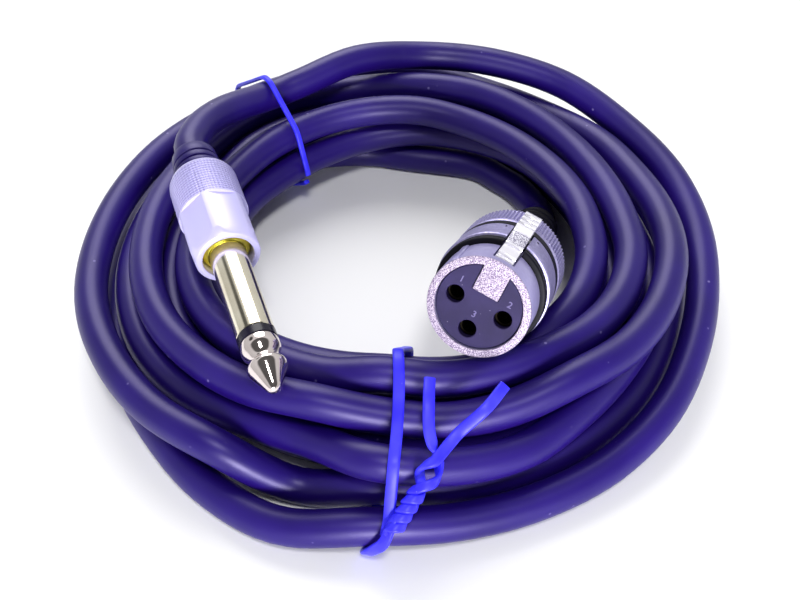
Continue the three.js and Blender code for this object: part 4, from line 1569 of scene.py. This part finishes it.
@dataclass
class XlrConnector:
    """The three-pole cable connector, from its nose to its boot."""

    seat: Seat = XLR_SEAT
    nose_radius: float = 8.3
    bore_radius: float = 7.0
    nose_length: float = 7.2
    barrel_radius: float = 7.2
    key_width: float = 4.4
    key_low: float = 2.35
    rib_turn: float = 52.0
    latch_slot: float = 3.7
    latch_width: float = 3.0
    pivot_place: float = -14.6
    pivot_height: float = 8.2
    pivot_radius: float = 0.85
    lug_radius: float = 1.25
    insert_face: float = -0.5
    pin_circle: float = 4.2
    pin_hole: float = 1.45
    socket_hole: float = 1.85
    digit_size: float = 1.5
    digit_rise: float = 0.05
    digit_edge: float = 0.02
    body_radius: float = 9.5
    nut_radius: float = 9.5
    nut_grooves: int = 90
    groove_depth: float = 0.42
    boot_end: float = 50.0
    boot_rib_start: float = 34.0
    boot_ribs: int = 4

    def pins(self) -> list[Corner]:
        """Give the middles of the three holes."""
        angles = [math.radians(degrees) for degrees in (180, 0, 270)]
        return [(self.pin_circle * math.cos(a), self.pin_circle * math.sin(a)) for a in angles]

    def gap(
        self, name: str, low: float, high: float, rear: float, front: float
    ) -> bpy.types.Object:
        """Make a tool as wide as the latch's slot.

        Args:
            name: name of the tool.
            low: its lower height.
            high: its upper height.
            rear: its rear end.
            front: its front end.

        Returns:
            The tool.
        """
        half = self.latch_slot / 2
        return block(name, (-half, low, rear), (half, high, front))

    def pivot(self, name: str, reach: float) -> bpy.types.Object:
        """Make a tool for the hole of the cross pin."""
        y, z = self.pivot_height, self.pivot_place
        return rod(name, self.pivot_radius, (-reach, y, z), (reach, y, z))

    def nose(self) -> bpy.types.Object:
        """Model the cast nose with its key, guide rib and latch pocket.

        Returns:
            The piece.
        """
        r, b, end, inner = self.nose_radius, self.bore_radius, -self.nose_length, self.barrel_radius
        shell = turned("xlr_nose", [
            (b, -0.12), (b + 0.1, 0), (r - 0.28, 0), (r - 0.08, -0.08), (r, -0.28), (r, end),
            (inner, end), (inner, -12.9), (b - 0.3, -12.9), (b - 0.3, -6.6), (b, -6.4),
        ], 128)
        half = self.key_width / 2
        key = block("key", (-half, self.key_low, -6.2), (half, b + 0.3, -0.03), 0.12)
        rib = block("rib", (-0.65, r - 0.6, end + 0.05), (0.65, r + 0.32, -0.25), 0.3)
        turn_tool(rib, math.radians(self.rib_turn))
        combine(shell, Joining.FUSE, key, rib)
        w = self.latch_slot / 2
        pocket = block("pocket", (-w, r - 1.05, -9), (w, r + 2, -1.6), 0.15)
        combine(shell, Joining.CUT, pocket)
        return shell

    def insert(self) -> bpy.types.Object:
        """Model the moulded insert with its holes and key slot.

        Returns:
            The piece.
        """
        r, face, hole = self.bore_radius - 0.12, self.insert_face, self.pin_hole
        body = turned("xlr_insert_face", [
            (0, face), (r - 0.12, face), (r, face - 0.12), (r, -6.2), (6.5, -6.4), (6.5, -15.4),
            (0, -15.4),
        ])
        half = self.key_width / 2 + 0.12
        slot = block("slot", (-half, self.key_low - 0.16, -6.3), (half, 9, 1))
        combine(body, Joining.CUT, slot)
        for x, y in self.pins():
            tool = turned("hole", [
                (0, 1), (hole + 0.1, 1), (hole + 0.1, face), (hole, face - 0.1), (hole, face - 0.3),
                (self.socket_hole, face - 0.3), (self.socket_hole, -16), (0, -16),
            ], 48)
            tool.location = (x, y, 0)
            bpy.ops.object.transform_apply(location=True)
            combine(body, Joining.CUT, tool)
        return body

    def digits(self) -> list[bpy.types.Object]:
        """Model the raised pin numbers beside the holes.

        Returns:
            The three digits.
        """
        made = []
        places = ((-4.3, 2.7), (4.1, 2.7), (-0.1, -1.5))
        for number, (x, y) in enumerate(places, 1):
            deselect_all()
            bpy.ops.object.text_add(location=(x, y, self.insert_face))
            text = bpy.context.object
            text.data.body = str(number)
            text.data.size = self.digit_size
            text.data.align_x = text.data.align_y = "CENTER"
            text.data.extrude = self.digit_rise
            text.data.bevel_depth = self.digit_edge
            bpy.ops.object.convert(target="MESH")
            text.name = text.data.name = f"xlr_pin_number_{number}"
            bpy.ops.object.transform_apply(location=True)
            soften(text)
            made.append(text)
        return made

    def gasket(self) -> bpy.types.Object:
        """Model the black ring behind the nose, open at the latch.

        Returns:
            The piece.
        """
        b = self.barrel_radius + 0.3
        band = turned("xlr_gasket", [
            (b, -7.5), (8.7, -7.5), (9.05, -7.6), (9.2, -7.8), (9.2, -8.35), (9.05, -8.5),
            (9.2, -8.65), (9.2, -9.1), (9.05, -9.3), (b, -9.3),
        ])
        combine(band, Joining.CUT, self.gap("gap", 6, 12, -10, -7))
        return band

    def body(self) -> bpy.types.Object:
        """Model the plain body with its latch slot, pivot hole and spigot.

        Returns:
            The piece.
        """
        r = self.body_radius
        shell = turned("xlr_body", [
            (7.5, -9.6), (r - 0.45, -9.6), (r - 0.12, -9.7), (r, -9.95), (r, -10.3),
            (r - 0.06, -10.5), (r - 0.06, -15.7), (r - 0.14, -15.95), (r - 0.4, -16.0),
            (7.9, -16.0), (7.9, -22.0), (6.9, -22.0), (6.9, -16.7), (7.5, -16.7),
        ], 128)
        slot = self.gap("slot", 7.0, 12, -16.3, -8)
        combine(shell, Joining.CUT, slot, self.pivot("pivot_hole", 3.1))
        return shell

    def seal(self) -> bpy.types.Object:
        """Model the black ring between the body and the nut."""
        return turned("xlr_seal", [
            (8.2, -16.05), (9.25, -16.05), (9.4, -16.2), (9.4, -17.95), (9.25, -18.1), (8.2, -18.1),
        ])

    def nut(self) -> bpy.types.Object:
        """Model the screwed rear nut with its straight-cut grip.

        Returns:
            The piece.
        """
        r = self.nut_radius
        shell = turned("xlr_nut", [
            (8.25, -18.2), (r - 0.6, -18.2), (r - 0.35, -18.35), (r - 0.25, -18.7), (r, -18.95),
            (r, -19.5), (r, -25.2), (r - 0.25, -25.5), (r - 0.4, -25.9), (r - 1.0, -26.4),
            (r - 1.6, -26.6), (6.1, -26.6), (6.1, -24.6), (8.25, -24.6),
        ], 4 * self.nut_grooves)
        press_grooves(shell, self.nut_grooves, self.groove_depth, -25.25, -19.45, r)
        return shell

    def latch(self) -> bpy.types.Object:
        """Model the pressing latch with its plate, step and thumb ribs.

        Returns:
            The piece.
        """
        ribs: list[Corner] = []
        for start in (-12.2, -14.6, -17.0, -19.4):
            ribs += [
                (start, 10.9), (start - 0.25, 11.0), (start - 1.1, 11.0), (start - 1.3, 10.9),
                (start - 1.5, 10.2), (start - 2.0, 10.2),
            ]
        lug = [
            (
                self.pivot_place + self.lug_radius * math.cos(math.radians(a)),
                self.pivot_height + self.lug_radius * math.sin(math.radians(a)),
            )
            for a in range(200, 341, 20)
        ]
        lever = side_cut("xlr_latch", [
            (-1.9, 7.6), (-1.9, 8.1), (-2.1, 8.3), (-3.0, 8.3), (-3.05, 8.05), (-3.3, 8.05),
            (-3.35, 8.7), (-3.45, 8.75), (-7.4, 8.75), (-7.5, 8.65), (-7.5, 8.45), (-7.9, 8.45),
            (-7.9, 8.95), (-11.8, 10.15), (-12.0, 10.3), *ribs[:-2], (-20.9, 10.9), (-21.3, 10.7),
            (-21.4, 10.4), (-21.4, 10.0), (-17.6, 10.0), (-16.8, 9.5), (-15.85, 9.3),
            (-15.85, 8.2), *lug, (-13.3, 7.6), (-12.6, 7.6), (-12.4, 8.3), (-8.6, 8.3), (-8.4, 7.6),
        ], self.latch_width)
        combine(lever, Joining.CUT, self.pivot("pivot", 5))
        return lever

    def boot(self) -> bpy.types.Object:
        """Model the ribbed boot.

        Returns:
            The piece.
        """
        corners: list[Corner] = [
            (3.4, -23.5), (7.6, -23.5), (7.6, -24.3), (5.8, -24.3), (5.8, -26.9), (6.2, -27.3),
            (6.3, -27.8), (6.0, -33.0),
        ]
        pitch = (self.boot_end - self.boot_rib_start) / self.boot_ribs
        for i in range(self.boot_ribs):
            start, outer = -self.boot_rib_start - i * pitch, 5.8 - 0.4 * i
            corners += [
                (outer, start), (outer - 0.15, start - 0.2), (outer - 0.75, start - 0.5),
                (outer - 0.75, start - 1.5), (outer - 0.25, start - 1.8),
                (outer - 0.1, start - 2.0),
            ]
        end = -self.boot_end
        corners += [
            (4.25, end + 0.4), (4.1, end + 0.1), (3.9, end), (3.15, end), (3.1, end + 0.2),
            (3.1, -40), (3.4, -39),
        ]
        return turned("xlr_boot_sleeve", corners)

    def build(self, shop: Workshop) -> None:
        """Model, place and dress every piece.

        Args:
            shop: the finishes.
        """
        cord, plate = Body.CORD, "xlr_body_metal"
        assemble(self.seat, shop, [
            Part(self.nose, cord, "xlr_rim_metal", "xlr_nose_shell"),
            Part(self.insert, cord, "xlr_insert_plastic", "xlr_insert"),
            Part(self.gasket, cord, "black_rubber", "xlr_gasket_ring", edge=0.05),
            Part(self.body, cord, plate, "xlr_body_ring"),
            Part(self.seal, cord, "black_rubber", "xlr_seal_ring"),
            Part(self.nut, Body.NUT, plate, "xlr_rear_nut"),
            Part(self.latch, Body.LATCH, plate, "xlr_latch_lever", "xlr_latch_bright", 0.08),
            Part(self.boot, cord, "black_rubber", "xlr_boot"),
        ])
        for digit in self.digits():
            seat_piece(digit, self.seat.placed())
            report(digit, cord, "xlr_insert_plastic", shop.finishes["xlr_digit_plastic"])


@dataclass
class JackPlug:
    """The 6.35 mm mono plug, from its tip to its boot."""

    seat: Seat = JACK_SEAT
    shaft_radius: float = 3.175
    barrel_radius: float = 6.1
    barrel_length: float = 20.7
    knurl_length: float = 10.0
    ring_start: float = 18.3
    ring_end: float = 19.9
    tip_end: float = 29.7
    flats: int = 6
    flat_depth: float = 0.55
    flat_turn: float = 40.5

    def tip(self) -> bpy.types.Object:
        """Model the turned tip.

        Returns:
            The piece.
        """
        r, s, end = self.shaft_radius, self.ring_end + 0.1, self.tip_end
        return turned("jack_tip_end", [
            (0, -7.0), (1.0, -7.0), (1.0, s), (r - 0.25, s), (r - 0.06, s + 0.08), (r, s + 0.3),
            (r, s + 1.3), (r - 0.1, s + 1.7), (r - 0.35, s + 2.1), (r - 0.7, s + 2.6),
            (r - 0.92, s + 3.1), (r - 0.98, s + 3.5), (r - 0.85, s + 3.85), (r - 0.55, s + 4.15),
            (r - 0.2, s + 4.4), (r - 0.03, s + 4.7), (r, s + 5.0), (r - 0.08, s + 5.35),
            (r - 0.3, s + 5.8), (1.45, end - 1.15), (1.15, end - 0.6), (0.8, end - 0.22),
            (0.4, end - 0.05), (0, end),
        ])

    def insulator(self) -> bpy.types.Object:
        """Model the black ring and its inner tube.

        Returns:
            The piece.
        """
        r, start, end = self.shaft_radius, self.ring_start, self.ring_end
        return turned("jack_insulator", [
            (1.3, -6.0), (2.0, -6.0), (2.0, start), (r - 0.05, start), (r + 0.01, start + 0.08),
            (r + 0.01, end - 0.08), (r - 0.05, end), (1.3, end),
        ])

    def sleeve(self) -> bpy.types.Object:
        """Model the shaft."""
        r, end = self.shaft_radius, self.ring_start - 0.1
        corners = [(2.3, -5.6), (r, -5.6), (r, end - 0.12), (r - 0.1, end), (2.3, end)]
        return turned("jack_shaft", corners, 128)

    def collar(self) -> bpy.types.Object:
        """Model the yellow collar and the screwed core behind it.

        Returns:
            The piece.
        """
        b = self.shaft_radius + 0.08
        return turned("jack_collar_ring", [
            (b, -0.85), (b + 0.1, -0.8), (b + 0.25, -0.9), (4.1, -1.75), (4.2, -1.95), (4.2, -2.6),
            (4.0, -2.7), (4.0, -3.2), (4.95, -3.2), (4.95, -8.6), (b, -8.6),
        ])

    def barrel(self) -> bpy.types.Object:
        """Model the barrel with its flats and front bevel.

        Returns:
            The piece.
        """
        r, rear = self.barrel_radius, -self.barrel_length
        shell = turned("jack_barrel_shell", [
            (4.4, -0.15), (4.55, 0), (r - 1.05, 0), (r - 0.75, -0.12), (r - 0.55, -0.4),
            (r - 0.08, -1.7), (r, -2.1), (r, rear + 1.9), (r - 0.08, rear + 1.3),
            (r - 0.35, rear + 0.7), (r - 0.85, rear + 0.2), (r - 1.3, rear), (4.5, rear),
            (4.5, rear + 1.6), (5.3, rear + 1.6), (5.3, -2.8), (4.4, -2.8),
        ], 144)
        reach = r - self.flat_depth
        for k in range(self.flats):
            tool = block("flat", (-4, reach, rear + self.knurl_length), (4, reach + 3, 1.0))
            turn_tool(tool, 2 * math.pi * k / self.flats + math.radians(self.flat_turn))
            combine(shell, Joining.CUT, tool)
        return shell

    def boot(self) -> bpy.types.Object:
        """Model the ringed boot behind the barrel.

        Returns:
            The piece.
        """
        rear = -self.barrel_length
        return turned("jack_boot_sleeve", [
            (3.4, rear + 3.2), (5.0, rear + 3.2), (5.0, rear + 1.95), (4.2, rear + 1.95),
            (4.2, rear - 0.4), (4.5, rear - 0.5), (4.65, rear - 0.8), (4.6, rear - 1.6),
            (4.4, rear - 1.8), (4.1, rear - 1.9), (4.1, rear - 2.4), (4.3, rear - 2.5),
            (4.4, rear - 2.8), (4.35, rear - 3.5), (4.1, rear - 3.75), (3.95, rear - 3.8),
            (3.95, rear - 4.3), (4.15, rear - 4.4), (4.2, rear - 4.8), (4.1, -27.0), (3.9, -27.4),
            (3.5, -27.6), (3.1, -27.6), (3.1, -24.0),
        ])

    def build(self, shop: Workshop) -> list[bpy.types.Object]:
        """Model, place and dress every piece.

        Args:
            shop: the finishes.

        Returns:
            The plug's pieces.
        """
        cord = Body.CORD
        return assemble(self.seat, shop, [
            Part(self.tip, cord, "jack_nickel", "jack_tip", "jack_chrome"),
            Part(self.insulator, cord, "black_plastic", "jack_insulator_ring"),
            Part(self.sleeve, cord, "jack_nickel", "jack_sleeve"),
            Part(self.collar, cord, "jack_gold", "jack_collar"),
            Part(self.barrel, Body.BARREL, "jack_satin", "jack_barrel", edge=0.06),
            Part(self.boot, cord, "cable_jacket", "jack_boot"),
        ])


@dataclass
class WireTies:
    """The two plastic coated wires round the coil."""

    half_width: float = 0.92
    rear_half_width: float = 0.56
    half_thickness: float = 0.42
    clearance: float = 0.42
    sides: int = 16
    squareness: float = 0.6
    fine_step: float = 0.5
    step: float = 2.4
    rim_points: int = 20
    front_azimuth: float = 268.0
    rear_azimuth: float = 124.0
    rear_opening: tuple[float, float] = (30.0, 7.0)
    # The twist, from the coil's front edge up to where the ends part.
    twist_start: Vector = field(default_factory=lambda: Vector((-1.2, -57.2, 8.6)))
    twist_end: Vector = field(default_factory=lambda: Vector((5.4, -49.5, 15.5)))
    twist_radius: float = 0.92
    eye_radius: float = 1.5
    twist_turns: float = 2.25
    twist_share: float = 0.6
    twist_narrow: float = 0.8
    twist_tilt: float = 0.38
    strand_steps: int = 44
    first_strand_skips: int = 1
    second_strand_skips: int = 8
    # How the front wrap leaves its plane.
    front_bow: float = 1.2
    tail_lean: float = -2.6
    tail_lean_from: float = 0.4
    tail_lean_over: float = 0.45
    hook_lean: float = 2.2
    hook_drop: float = 9.0
    hook_inside: float = 0.3
    hook_over: float = 0.2
    wrap_end_height: float = 1.0
    # Where the wrap meets the twist: each a point and the way it faces.
    bend: tuple[Knot, Knot] = ((-2.2, -56.7, 7.1), (-0.2, -0.95, 0.1))
    bend_width: float = 0.9
    tail: tuple[tuple[Knot, Knot], ...] = (
        ((-5.2, -55.8, 1.3), (0, -0.8, -0.6)), ((-4.9, -56.8, 2.6), (-0.1, -1, 0)),
        ((-3.8, -57.5, 4.6), (-0.1, -0.9, 0.3)), ((-2.5, -57.7, 6.5), (-0.3, -0.8, 0.5)),
    )
    end_facing: Vector = field(default_factory=lambda: Vector((0.1, -0.62, 0.78)))
    end_up: tuple[Knot, ...] = ((4.4, -46.2, 18.2), (4.3, -42.4, 21.0), (4.5, -38.4, 21.6))
    end_side: tuple[Knot, ...] = ((8.6, -45.9, 17.6), (12.8, -43.6, 20.8), (15.8, -39.8, 21.6))

    @staticmethod
    def crossings(line: Sequence[Vector], azimuth: float) -> list[Corner]:
        """Find where the cable crosses the upright plane of a tie.

        Args:
            line: the cable's middle line, in millimetres.
            azimuth: direction of the plane, in radians.

        Returns:
            The radius and the height of each crossing.
        """
        along = Vector((math.cos(azimuth), math.sin(azimuth), 0))
        off = Vector((-math.sin(azimuth), math.cos(azimuth), 0))
        places = []
        for p, q in zip(line, line[1:]):
            a, b = p.dot(off), q.dot(off)
            if (a <= 0) != (b <= 0):
                point = p.lerp(q, a / (a - b))
                if point.dot(along) > 0:
                    places.append((point.dot(along), point.z))
        return places

    @staticmethod
    def hull(places: Iterable[Corner]) -> list[Corner]:
        """Draw the smallest outline round places.

        Args:
            places: the places.

        Returns:
            The outline's corners, in order.
        """
        ordered = sorted(places)

        def turn(o: Corner, a: Corner, b: Corner) -> float:
            """Tell which way three corners turn."""
            return (a[0] - o[0]) * (b[1] - o[1]) - (a[1] - o[1]) * (b[0] - o[0])

        def half(row: Sequence[Corner]) -> list[Corner]:
            """Walk one side of the outline.

            Args:
                row: the places, sorted along that side.

            Returns:
                The side's corners, without the last.
            """
            chain: list[Corner] = []
            for place in row:
                while len(chain) > 1 and turn(chain[-2], chain[-1], place) <= 0:
                    chain.pop()
                chain.append(place)
            return chain[:-1]

        return half(ordered) + half(ordered[::-1])

    def rims(self, line: Sequence[Vector], azimuth: float) -> list[Corner]:
        """Ring each crossing of the cable at the distance of the wire's middle.

        Args:
            line: the cable's middle line, in millimetres.
            azimuth: direction of the plane, in radians.

        Returns:
            Points as radius and height, none under the floor.
        """
        count = self.rim_points
        reach = CABLE_DIAMETER / 2 + self.clearance + self.half_thickness
        reach /= math.cos(math.pi / count)
        turns = [k * math.pi / (count // 2) for k in range(count)]
        return [
            (r + reach * math.cos(a), max(z + reach * math.sin(a), self.half_thickness))
            for r, z in self.crossings(line, azimuth)
            for a in turns
        ]

    def wrap(self, line: Sequence[Vector], degrees: float, near: Vector) -> list[Vector]:
        """Draw a tie taut round everything in its plane.

        Args:
            line: the cable's middle line, in millimetres.
            degrees: azimuth of the tie's plane.
            near: where the wrap opens.

        Returns:
            The wrap's points, from its opening over the top.
        """
        azimuth = math.radians(degrees)
        c, s = math.cos(azimuth), math.sin(azimuth)
        outline = self.hull(self.rims(line, azimuth))
        places: list[Vector] = []
        for (r, z), (r2, z2) in zip(outline, outline[1:] + outline[:1]):
            parts = max(round(math.hypot(r2 - r, z2 - z) / self.step), 1)
            for k in range(parts):
                t = k / parts
                radius = r + t * (r2 - r)
                places.append(Vector((radius * c, radius * s, z + t * (z2 - z))))
        first = min(range(len(places)), key=lambda i: (places[i] - near).length)
        around = places[first:] + places[:first]
        if around[2].z <= around[-2].z:
            around = [around[0], *reversed(around[1:])]
        return around[1:]

    def strand(self, phase: float) -> list[Dressed]:
        """Wind one of the two strands of the twist, with its eye.

        Args:
            phase: where it starts round the twist, in radians.

        Returns:
            The strand's points, each with its outward direction and width.
        """
        axis = (self.twist_end - self.twist_start).normalized()
        first = Vector((0, 0, 1)).cross(axis).normalized()
        second = axis.cross(first)
        widening = self.eye_radius - self.twist_radius
        points = []
        for i in range(self.strand_steps + 1):
            t = i / self.strand_steps
            wound = min(t / self.twist_share, 1.0)
            opened = max((t - self.twist_share) / (1 - self.twist_share), 0.0)
            a = phase + 2 * math.pi * self.twist_turns * wound + math.pi * opened
            out = first * math.cos(a) + second * math.sin(a)
            reach = self.twist_radius + widening * math.sin(math.pi * opened)
            narrow = self.twist_narrow + (1 - self.twist_narrow) * opened
            place = self.twist_start.lerp(self.twist_end, t) + out * reach
            points.append((place, out + axis * self.twist_tilt, narrow))
        return points

    def free_end(self, knots: Sequence[Knot]) -> list[Dressed]:
        """Face a free end's flat side up and forwards."""
        return [(Vector(p), self.end_facing, 1.0) for p in knots]

    @staticmethod
    def faced(wrap: Sequence[Vector], degrees: float) -> list[Dressed]:
        """Give each point of a wrap its direction away from the cable.

        Args:
            wrap: the wrap's points.
            degrees: azimuth of the tie's plane.

        Returns:
            The points, dressed.
        """
        azimuth = math.radians(degrees)
        across = Vector((-math.sin(azimuth), math.cos(azimuth), 0))
        middle = sum(wrap, Vector()) / len(wrap)
        rows = []
        for i, point in enumerate(wrap):
            tangent = (wrap[min(i + 1, len(wrap) - 1)] - wrap[max(i - 1, 0)]).normalized()
            out = tangent.cross(across)
            rows.append((point, out if out.dot(point - middle) > 0 else -out, 1.0))
        return rows

    def bowed(self, wrap: Sequence[Vector]) -> list[Vector]:
        """Let the front wrap bow on top and lean where it comes back.

        Args:
            wrap: the wrap's points, in its upright plane.

        Returns:
            The points, moved sideways.
        """
        reaches = [math.hypot(p.x, p.y) for p in wrap]
        near, far = min(reaches), max(reaches)
        highest = max(p.z for p in wrap)
        rows = []
        for i, (point, reach) in enumerate(zip(wrap, reaches)):
            share = (reach - near) / (far - near)
            shift = self.front_bow * math.sin(math.pi * share)
            if i > len(wrap) / 2:
                lean = smooth_step((share - self.tail_lean_from) / self.tail_lean_over)
                shift = self.tail_lean * lean
            drop = smooth_step((highest - point.z) / self.hook_drop)
            inner = smooth_step((self.hook_inside - share) / self.hook_over)
            shift += self.hook_lean * drop * inner
            rows.append(point + Vector((shift, 0, 0)))
        return rows

    def section(self, half_width: float) -> list[Corner]:
        """Give the corners of the coating's flattened round section.

        Args:
            half_width: half its width, in millimetres.

        Returns:
            The corners, in metres along its thickness and its width.
        """
        corners = []
        for i in range(self.sides):
            a = 2 * math.pi * i / self.sides
            c, s = math.cos(a), math.sin(a)
            corners.append((
                math.copysign(abs(c) ** self.squareness, c) * self.half_thickness * MM,
                math.copysign(abs(s) ** self.squareness, s) * half_width * MM,
            ))
        return corners

    def strip(self, name: str, route: Sequence[Dressed], half_width: float) -> bpy.types.Object:
        """Sweep the flat coated wire along its route.

        Args:
            name: name of the piece.
            route: the route in millimetres, each point with its flat side's direction.
            half_width: half the width of the coating.

        Returns:
            The piece, in metres.
        """
        places = [place for place, _, _ in route]
        points = [(p - COIL_CENTRE) * MM for p in centripetal(places, self.fine_step)]
        normals = []
        widths = []
        for (p, n, a), (q, m, b) in zip(route, route[1:]):
            count = max(1, math.ceil((q - p).length / self.fine_step))
            normals += [n.lerp(m, k / count).normalized() for k in range(count)]
            widths += [a + (b - a) * k / count for k in range(count)]
        normals.append(route[-1][1].normalized())
        widths.append(route[-1][2])
        return strip_mesh(name, points, normals, self.section(half_width), widths)

    def front_route(self, line: Sequence[Vector]) -> list[Dressed]:
        """Lead the front tie from one free end through both strands to the other.

        Args:
            line: the cable's middle line, in millimetres.

        Returns:
            The whole route.
        """
        wrap = self.bowed(self.wrap(line, self.front_azimuth, self.twist_start))
        while wrap[-1].z > self.wrap_end_height:
            wrap.pop()
        return [
            *reversed(self.free_end(self.end_up)),
            *reversed(self.strand(0)[self.first_strand_skips:]),
            (Vector(self.bend[0]), Vector(self.bend[1]), self.bend_width),
            *self.faced(wrap, self.front_azimuth),
            *((Vector(p), Vector(n), 1.0) for p, n in self.tail),
            *self.strand(math.pi)[self.second_strand_skips:],
            *self.free_end(self.end_side),
        ]

    def build(self, shop: Workshop, line: Sequence[Vector]) -> None:
        """Make both ties round the cable.

        Args:
            shop: the finishes.
            line: the cable's middle line, in millimetres.
        """
        plastic = shop.finishes["tie_plastic"]
        front = self.strip("wire_tie_front", self.front_route(line), self.half_width)
        report(front, Body.CORD, "tie_plastic", plastic, "tie_front")
        azimuth = math.radians(self.rear_azimuth)
        reach, height = self.rear_opening
        inside = Vector((reach * math.cos(azimuth), reach * math.sin(azimuth), height))
        route = self.faced(self.wrap(line, self.rear_azimuth, inside), self.rear_azimuth)
        rear = self.strip("wire_tie_rear", route, self.rear_half_width)
        report(rear, Body.CORD, "tie_plastic", plastic, "tie_rear")


@dataclass(frozen=True)
class Softbox:
    """One round soft light that faces the coil, in metres and watts."""

    name: str
    place: tuple[float, float, float]
    size: float
    power: float
    tint: tuple[float, float, float] = WHITE

    def hang(self) -> None:
        """Put the light in its place."""
        data = bpy.data.lights.new(self.name, "AREA")
        data.shape = "DISK"
        data.size = self.size
        data.energy = self.power
        data.color = self.tint
        light = bpy.data.objects.new(self.name, data)
        light.location = self.place
        light.rotation_euler = (-Vector(self.place)).to_track_quat("-Z", "Y").to_euler()
        bpy.context.scene.collection.objects.link(light)


@dataclass
class Studio:
    """The floor, the light and the camera."""

    distance: float = 0.2
    elevation: float = 45.0
    focal_pixels: float = 1040.0
    sensor: float = 36.0
    floor_size: float = 6.0
    tent_low: float = 0.62
    tent_rise: float = 0.14
    tent_top: float = 0.9
    # Azimuth, elevation, inner and outer half angle, and how dark.
    openings: tuple[Knot, ...] = ((-72.0, 62.0, 44.0, 54.0, 0.86), (150.0, 39.0, 7.0, 12.0, 0.9))
    softboxes: tuple[Softbox, ...] = (
        Softbox("key", (-0.12, 0.71, 0.7), 0.76, 6.6, (1.0, 0.995, 0.985)),
        Softbox("front", (0.12, -0.95, 0.17), 0.3, 13.0),
        Softbox("top", (0.07, -0.37, 0.82), 0.18, 3.0),
    )

    def camera(self) -> None:
        """Stand the camera where the photograph was taken."""
        target = Vector((-COIL_CENTRE.x * MM, -COIL_CENTRE.y * MM, 0))
        data = bpy.data.cameras.new("camera")
        data.sensor_width = self.sensor
        data.lens = self.focal_pixels * self.sensor / PHOTO_WIDTH
        data.clip_start = 0.01
        camera = bpy.data.objects.new("camera", data)
        angle = math.radians(self.elevation)
        away = Vector((0, -math.cos(angle), math.sin(angle)))
        camera.location = target + away * self.distance
        camera.rotation_euler = (math.pi / 2 - angle, 0, 0)
        bpy.context.scene.collection.objects.link(camera)
        bpy.context.scene.camera = camera

    def floor(self) -> None:
        """Lay the plain pale floor."""
        deselect_all()
        bpy.ops.mesh.primitive_plane_add(size=self.floor_size, location=(0, 0, 0))
        floor = bpy.context.object
        floor.name = "studio_floor"
        s = Surface.start("floor_paper", Roughness=0.6, Specular_IOR_Level=0.3)
        cloud = s.pad.noise(s.place, 9.0, 2.0)
        s.feed("Base Color", s.pad.blend(cloud, (246, 246, 248), (250, 250, 251)))
        floor.data.materials.append(s.material)
        floor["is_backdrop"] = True

    def surroundings(self) -> None:
        """Make the world a pale tent with two dark openings."""
        world = bpy.data.worlds.new("studio")
        world.use_nodes = True
        bpy.context.scene.world = world
        back = world.node_tree.nodes["Background"]
        pad = NodePad(world.node_tree)
        way = pad.add("ShaderNodeTexCoord").outputs["Generated"]
        height = pad.add("ShaderNodeSeparateXYZ", Vector=way).outputs[2]
        rise = pad.times(pad.ramp(height, 0.0, self.tent_top), self.tent_rise)
        shade = pad.plus(rise, self.tent_low)
        for azimuth, elevation, inner, outer, depth in self.openings:
            a, e = math.radians(azimuth), math.radians(elevation)
            aim = (math.cos(e) * math.cos(a), math.cos(e) * math.sin(a), math.sin(e))
            near = pad.add("ShaderNodeVectorMath", {"operation": "DOT_PRODUCT"}, in0=way, in1=aim)
            edges = (math.cos(math.radians(outer)), math.cos(math.radians(inner)))
            mask = pad.ramp(near.outputs["Value"], *edges)
            shade = pad.times(shade, pad.less(1.0, pad.times(mask, depth)))
        pad.link((*WHITE, 1.0), back.inputs["Color"])
        pad.link(shade, back.inputs["Strength"])

    def build(self) -> None:
        """Set up the whole studio."""
        self.camera()
        self.floor()
        self.surroundings()
        for softbox in self.softboxes:
            softbox.hang()
        bpy.context.scene.view_settings.view_transform = "Standard"


def write_sizes(after: object) -> None:
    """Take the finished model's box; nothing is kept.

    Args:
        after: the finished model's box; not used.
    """
    def plain(box: object) -> list[list[float]]:
        """Turn a box into plain lists."""
        return [[float(v) for v in corner] for corner in box]


def main() -> None:
    """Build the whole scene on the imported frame."""
    logging.basicConfig(level=logging.INFO, format="%(name)s %(message)s")
    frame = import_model()
    Studio().build()
    shop = Workshop()
    shop.prepare()
    shop.dress_nodes(frame)
    cable = Cable()
    line = cable.build(shop)
    XlrConnector().build(shop)
    plug = JackPlug().build(shop)
    WireTies().build(shop, line)
    write_sizes(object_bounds())


if __name__ == "__main__":
    main()
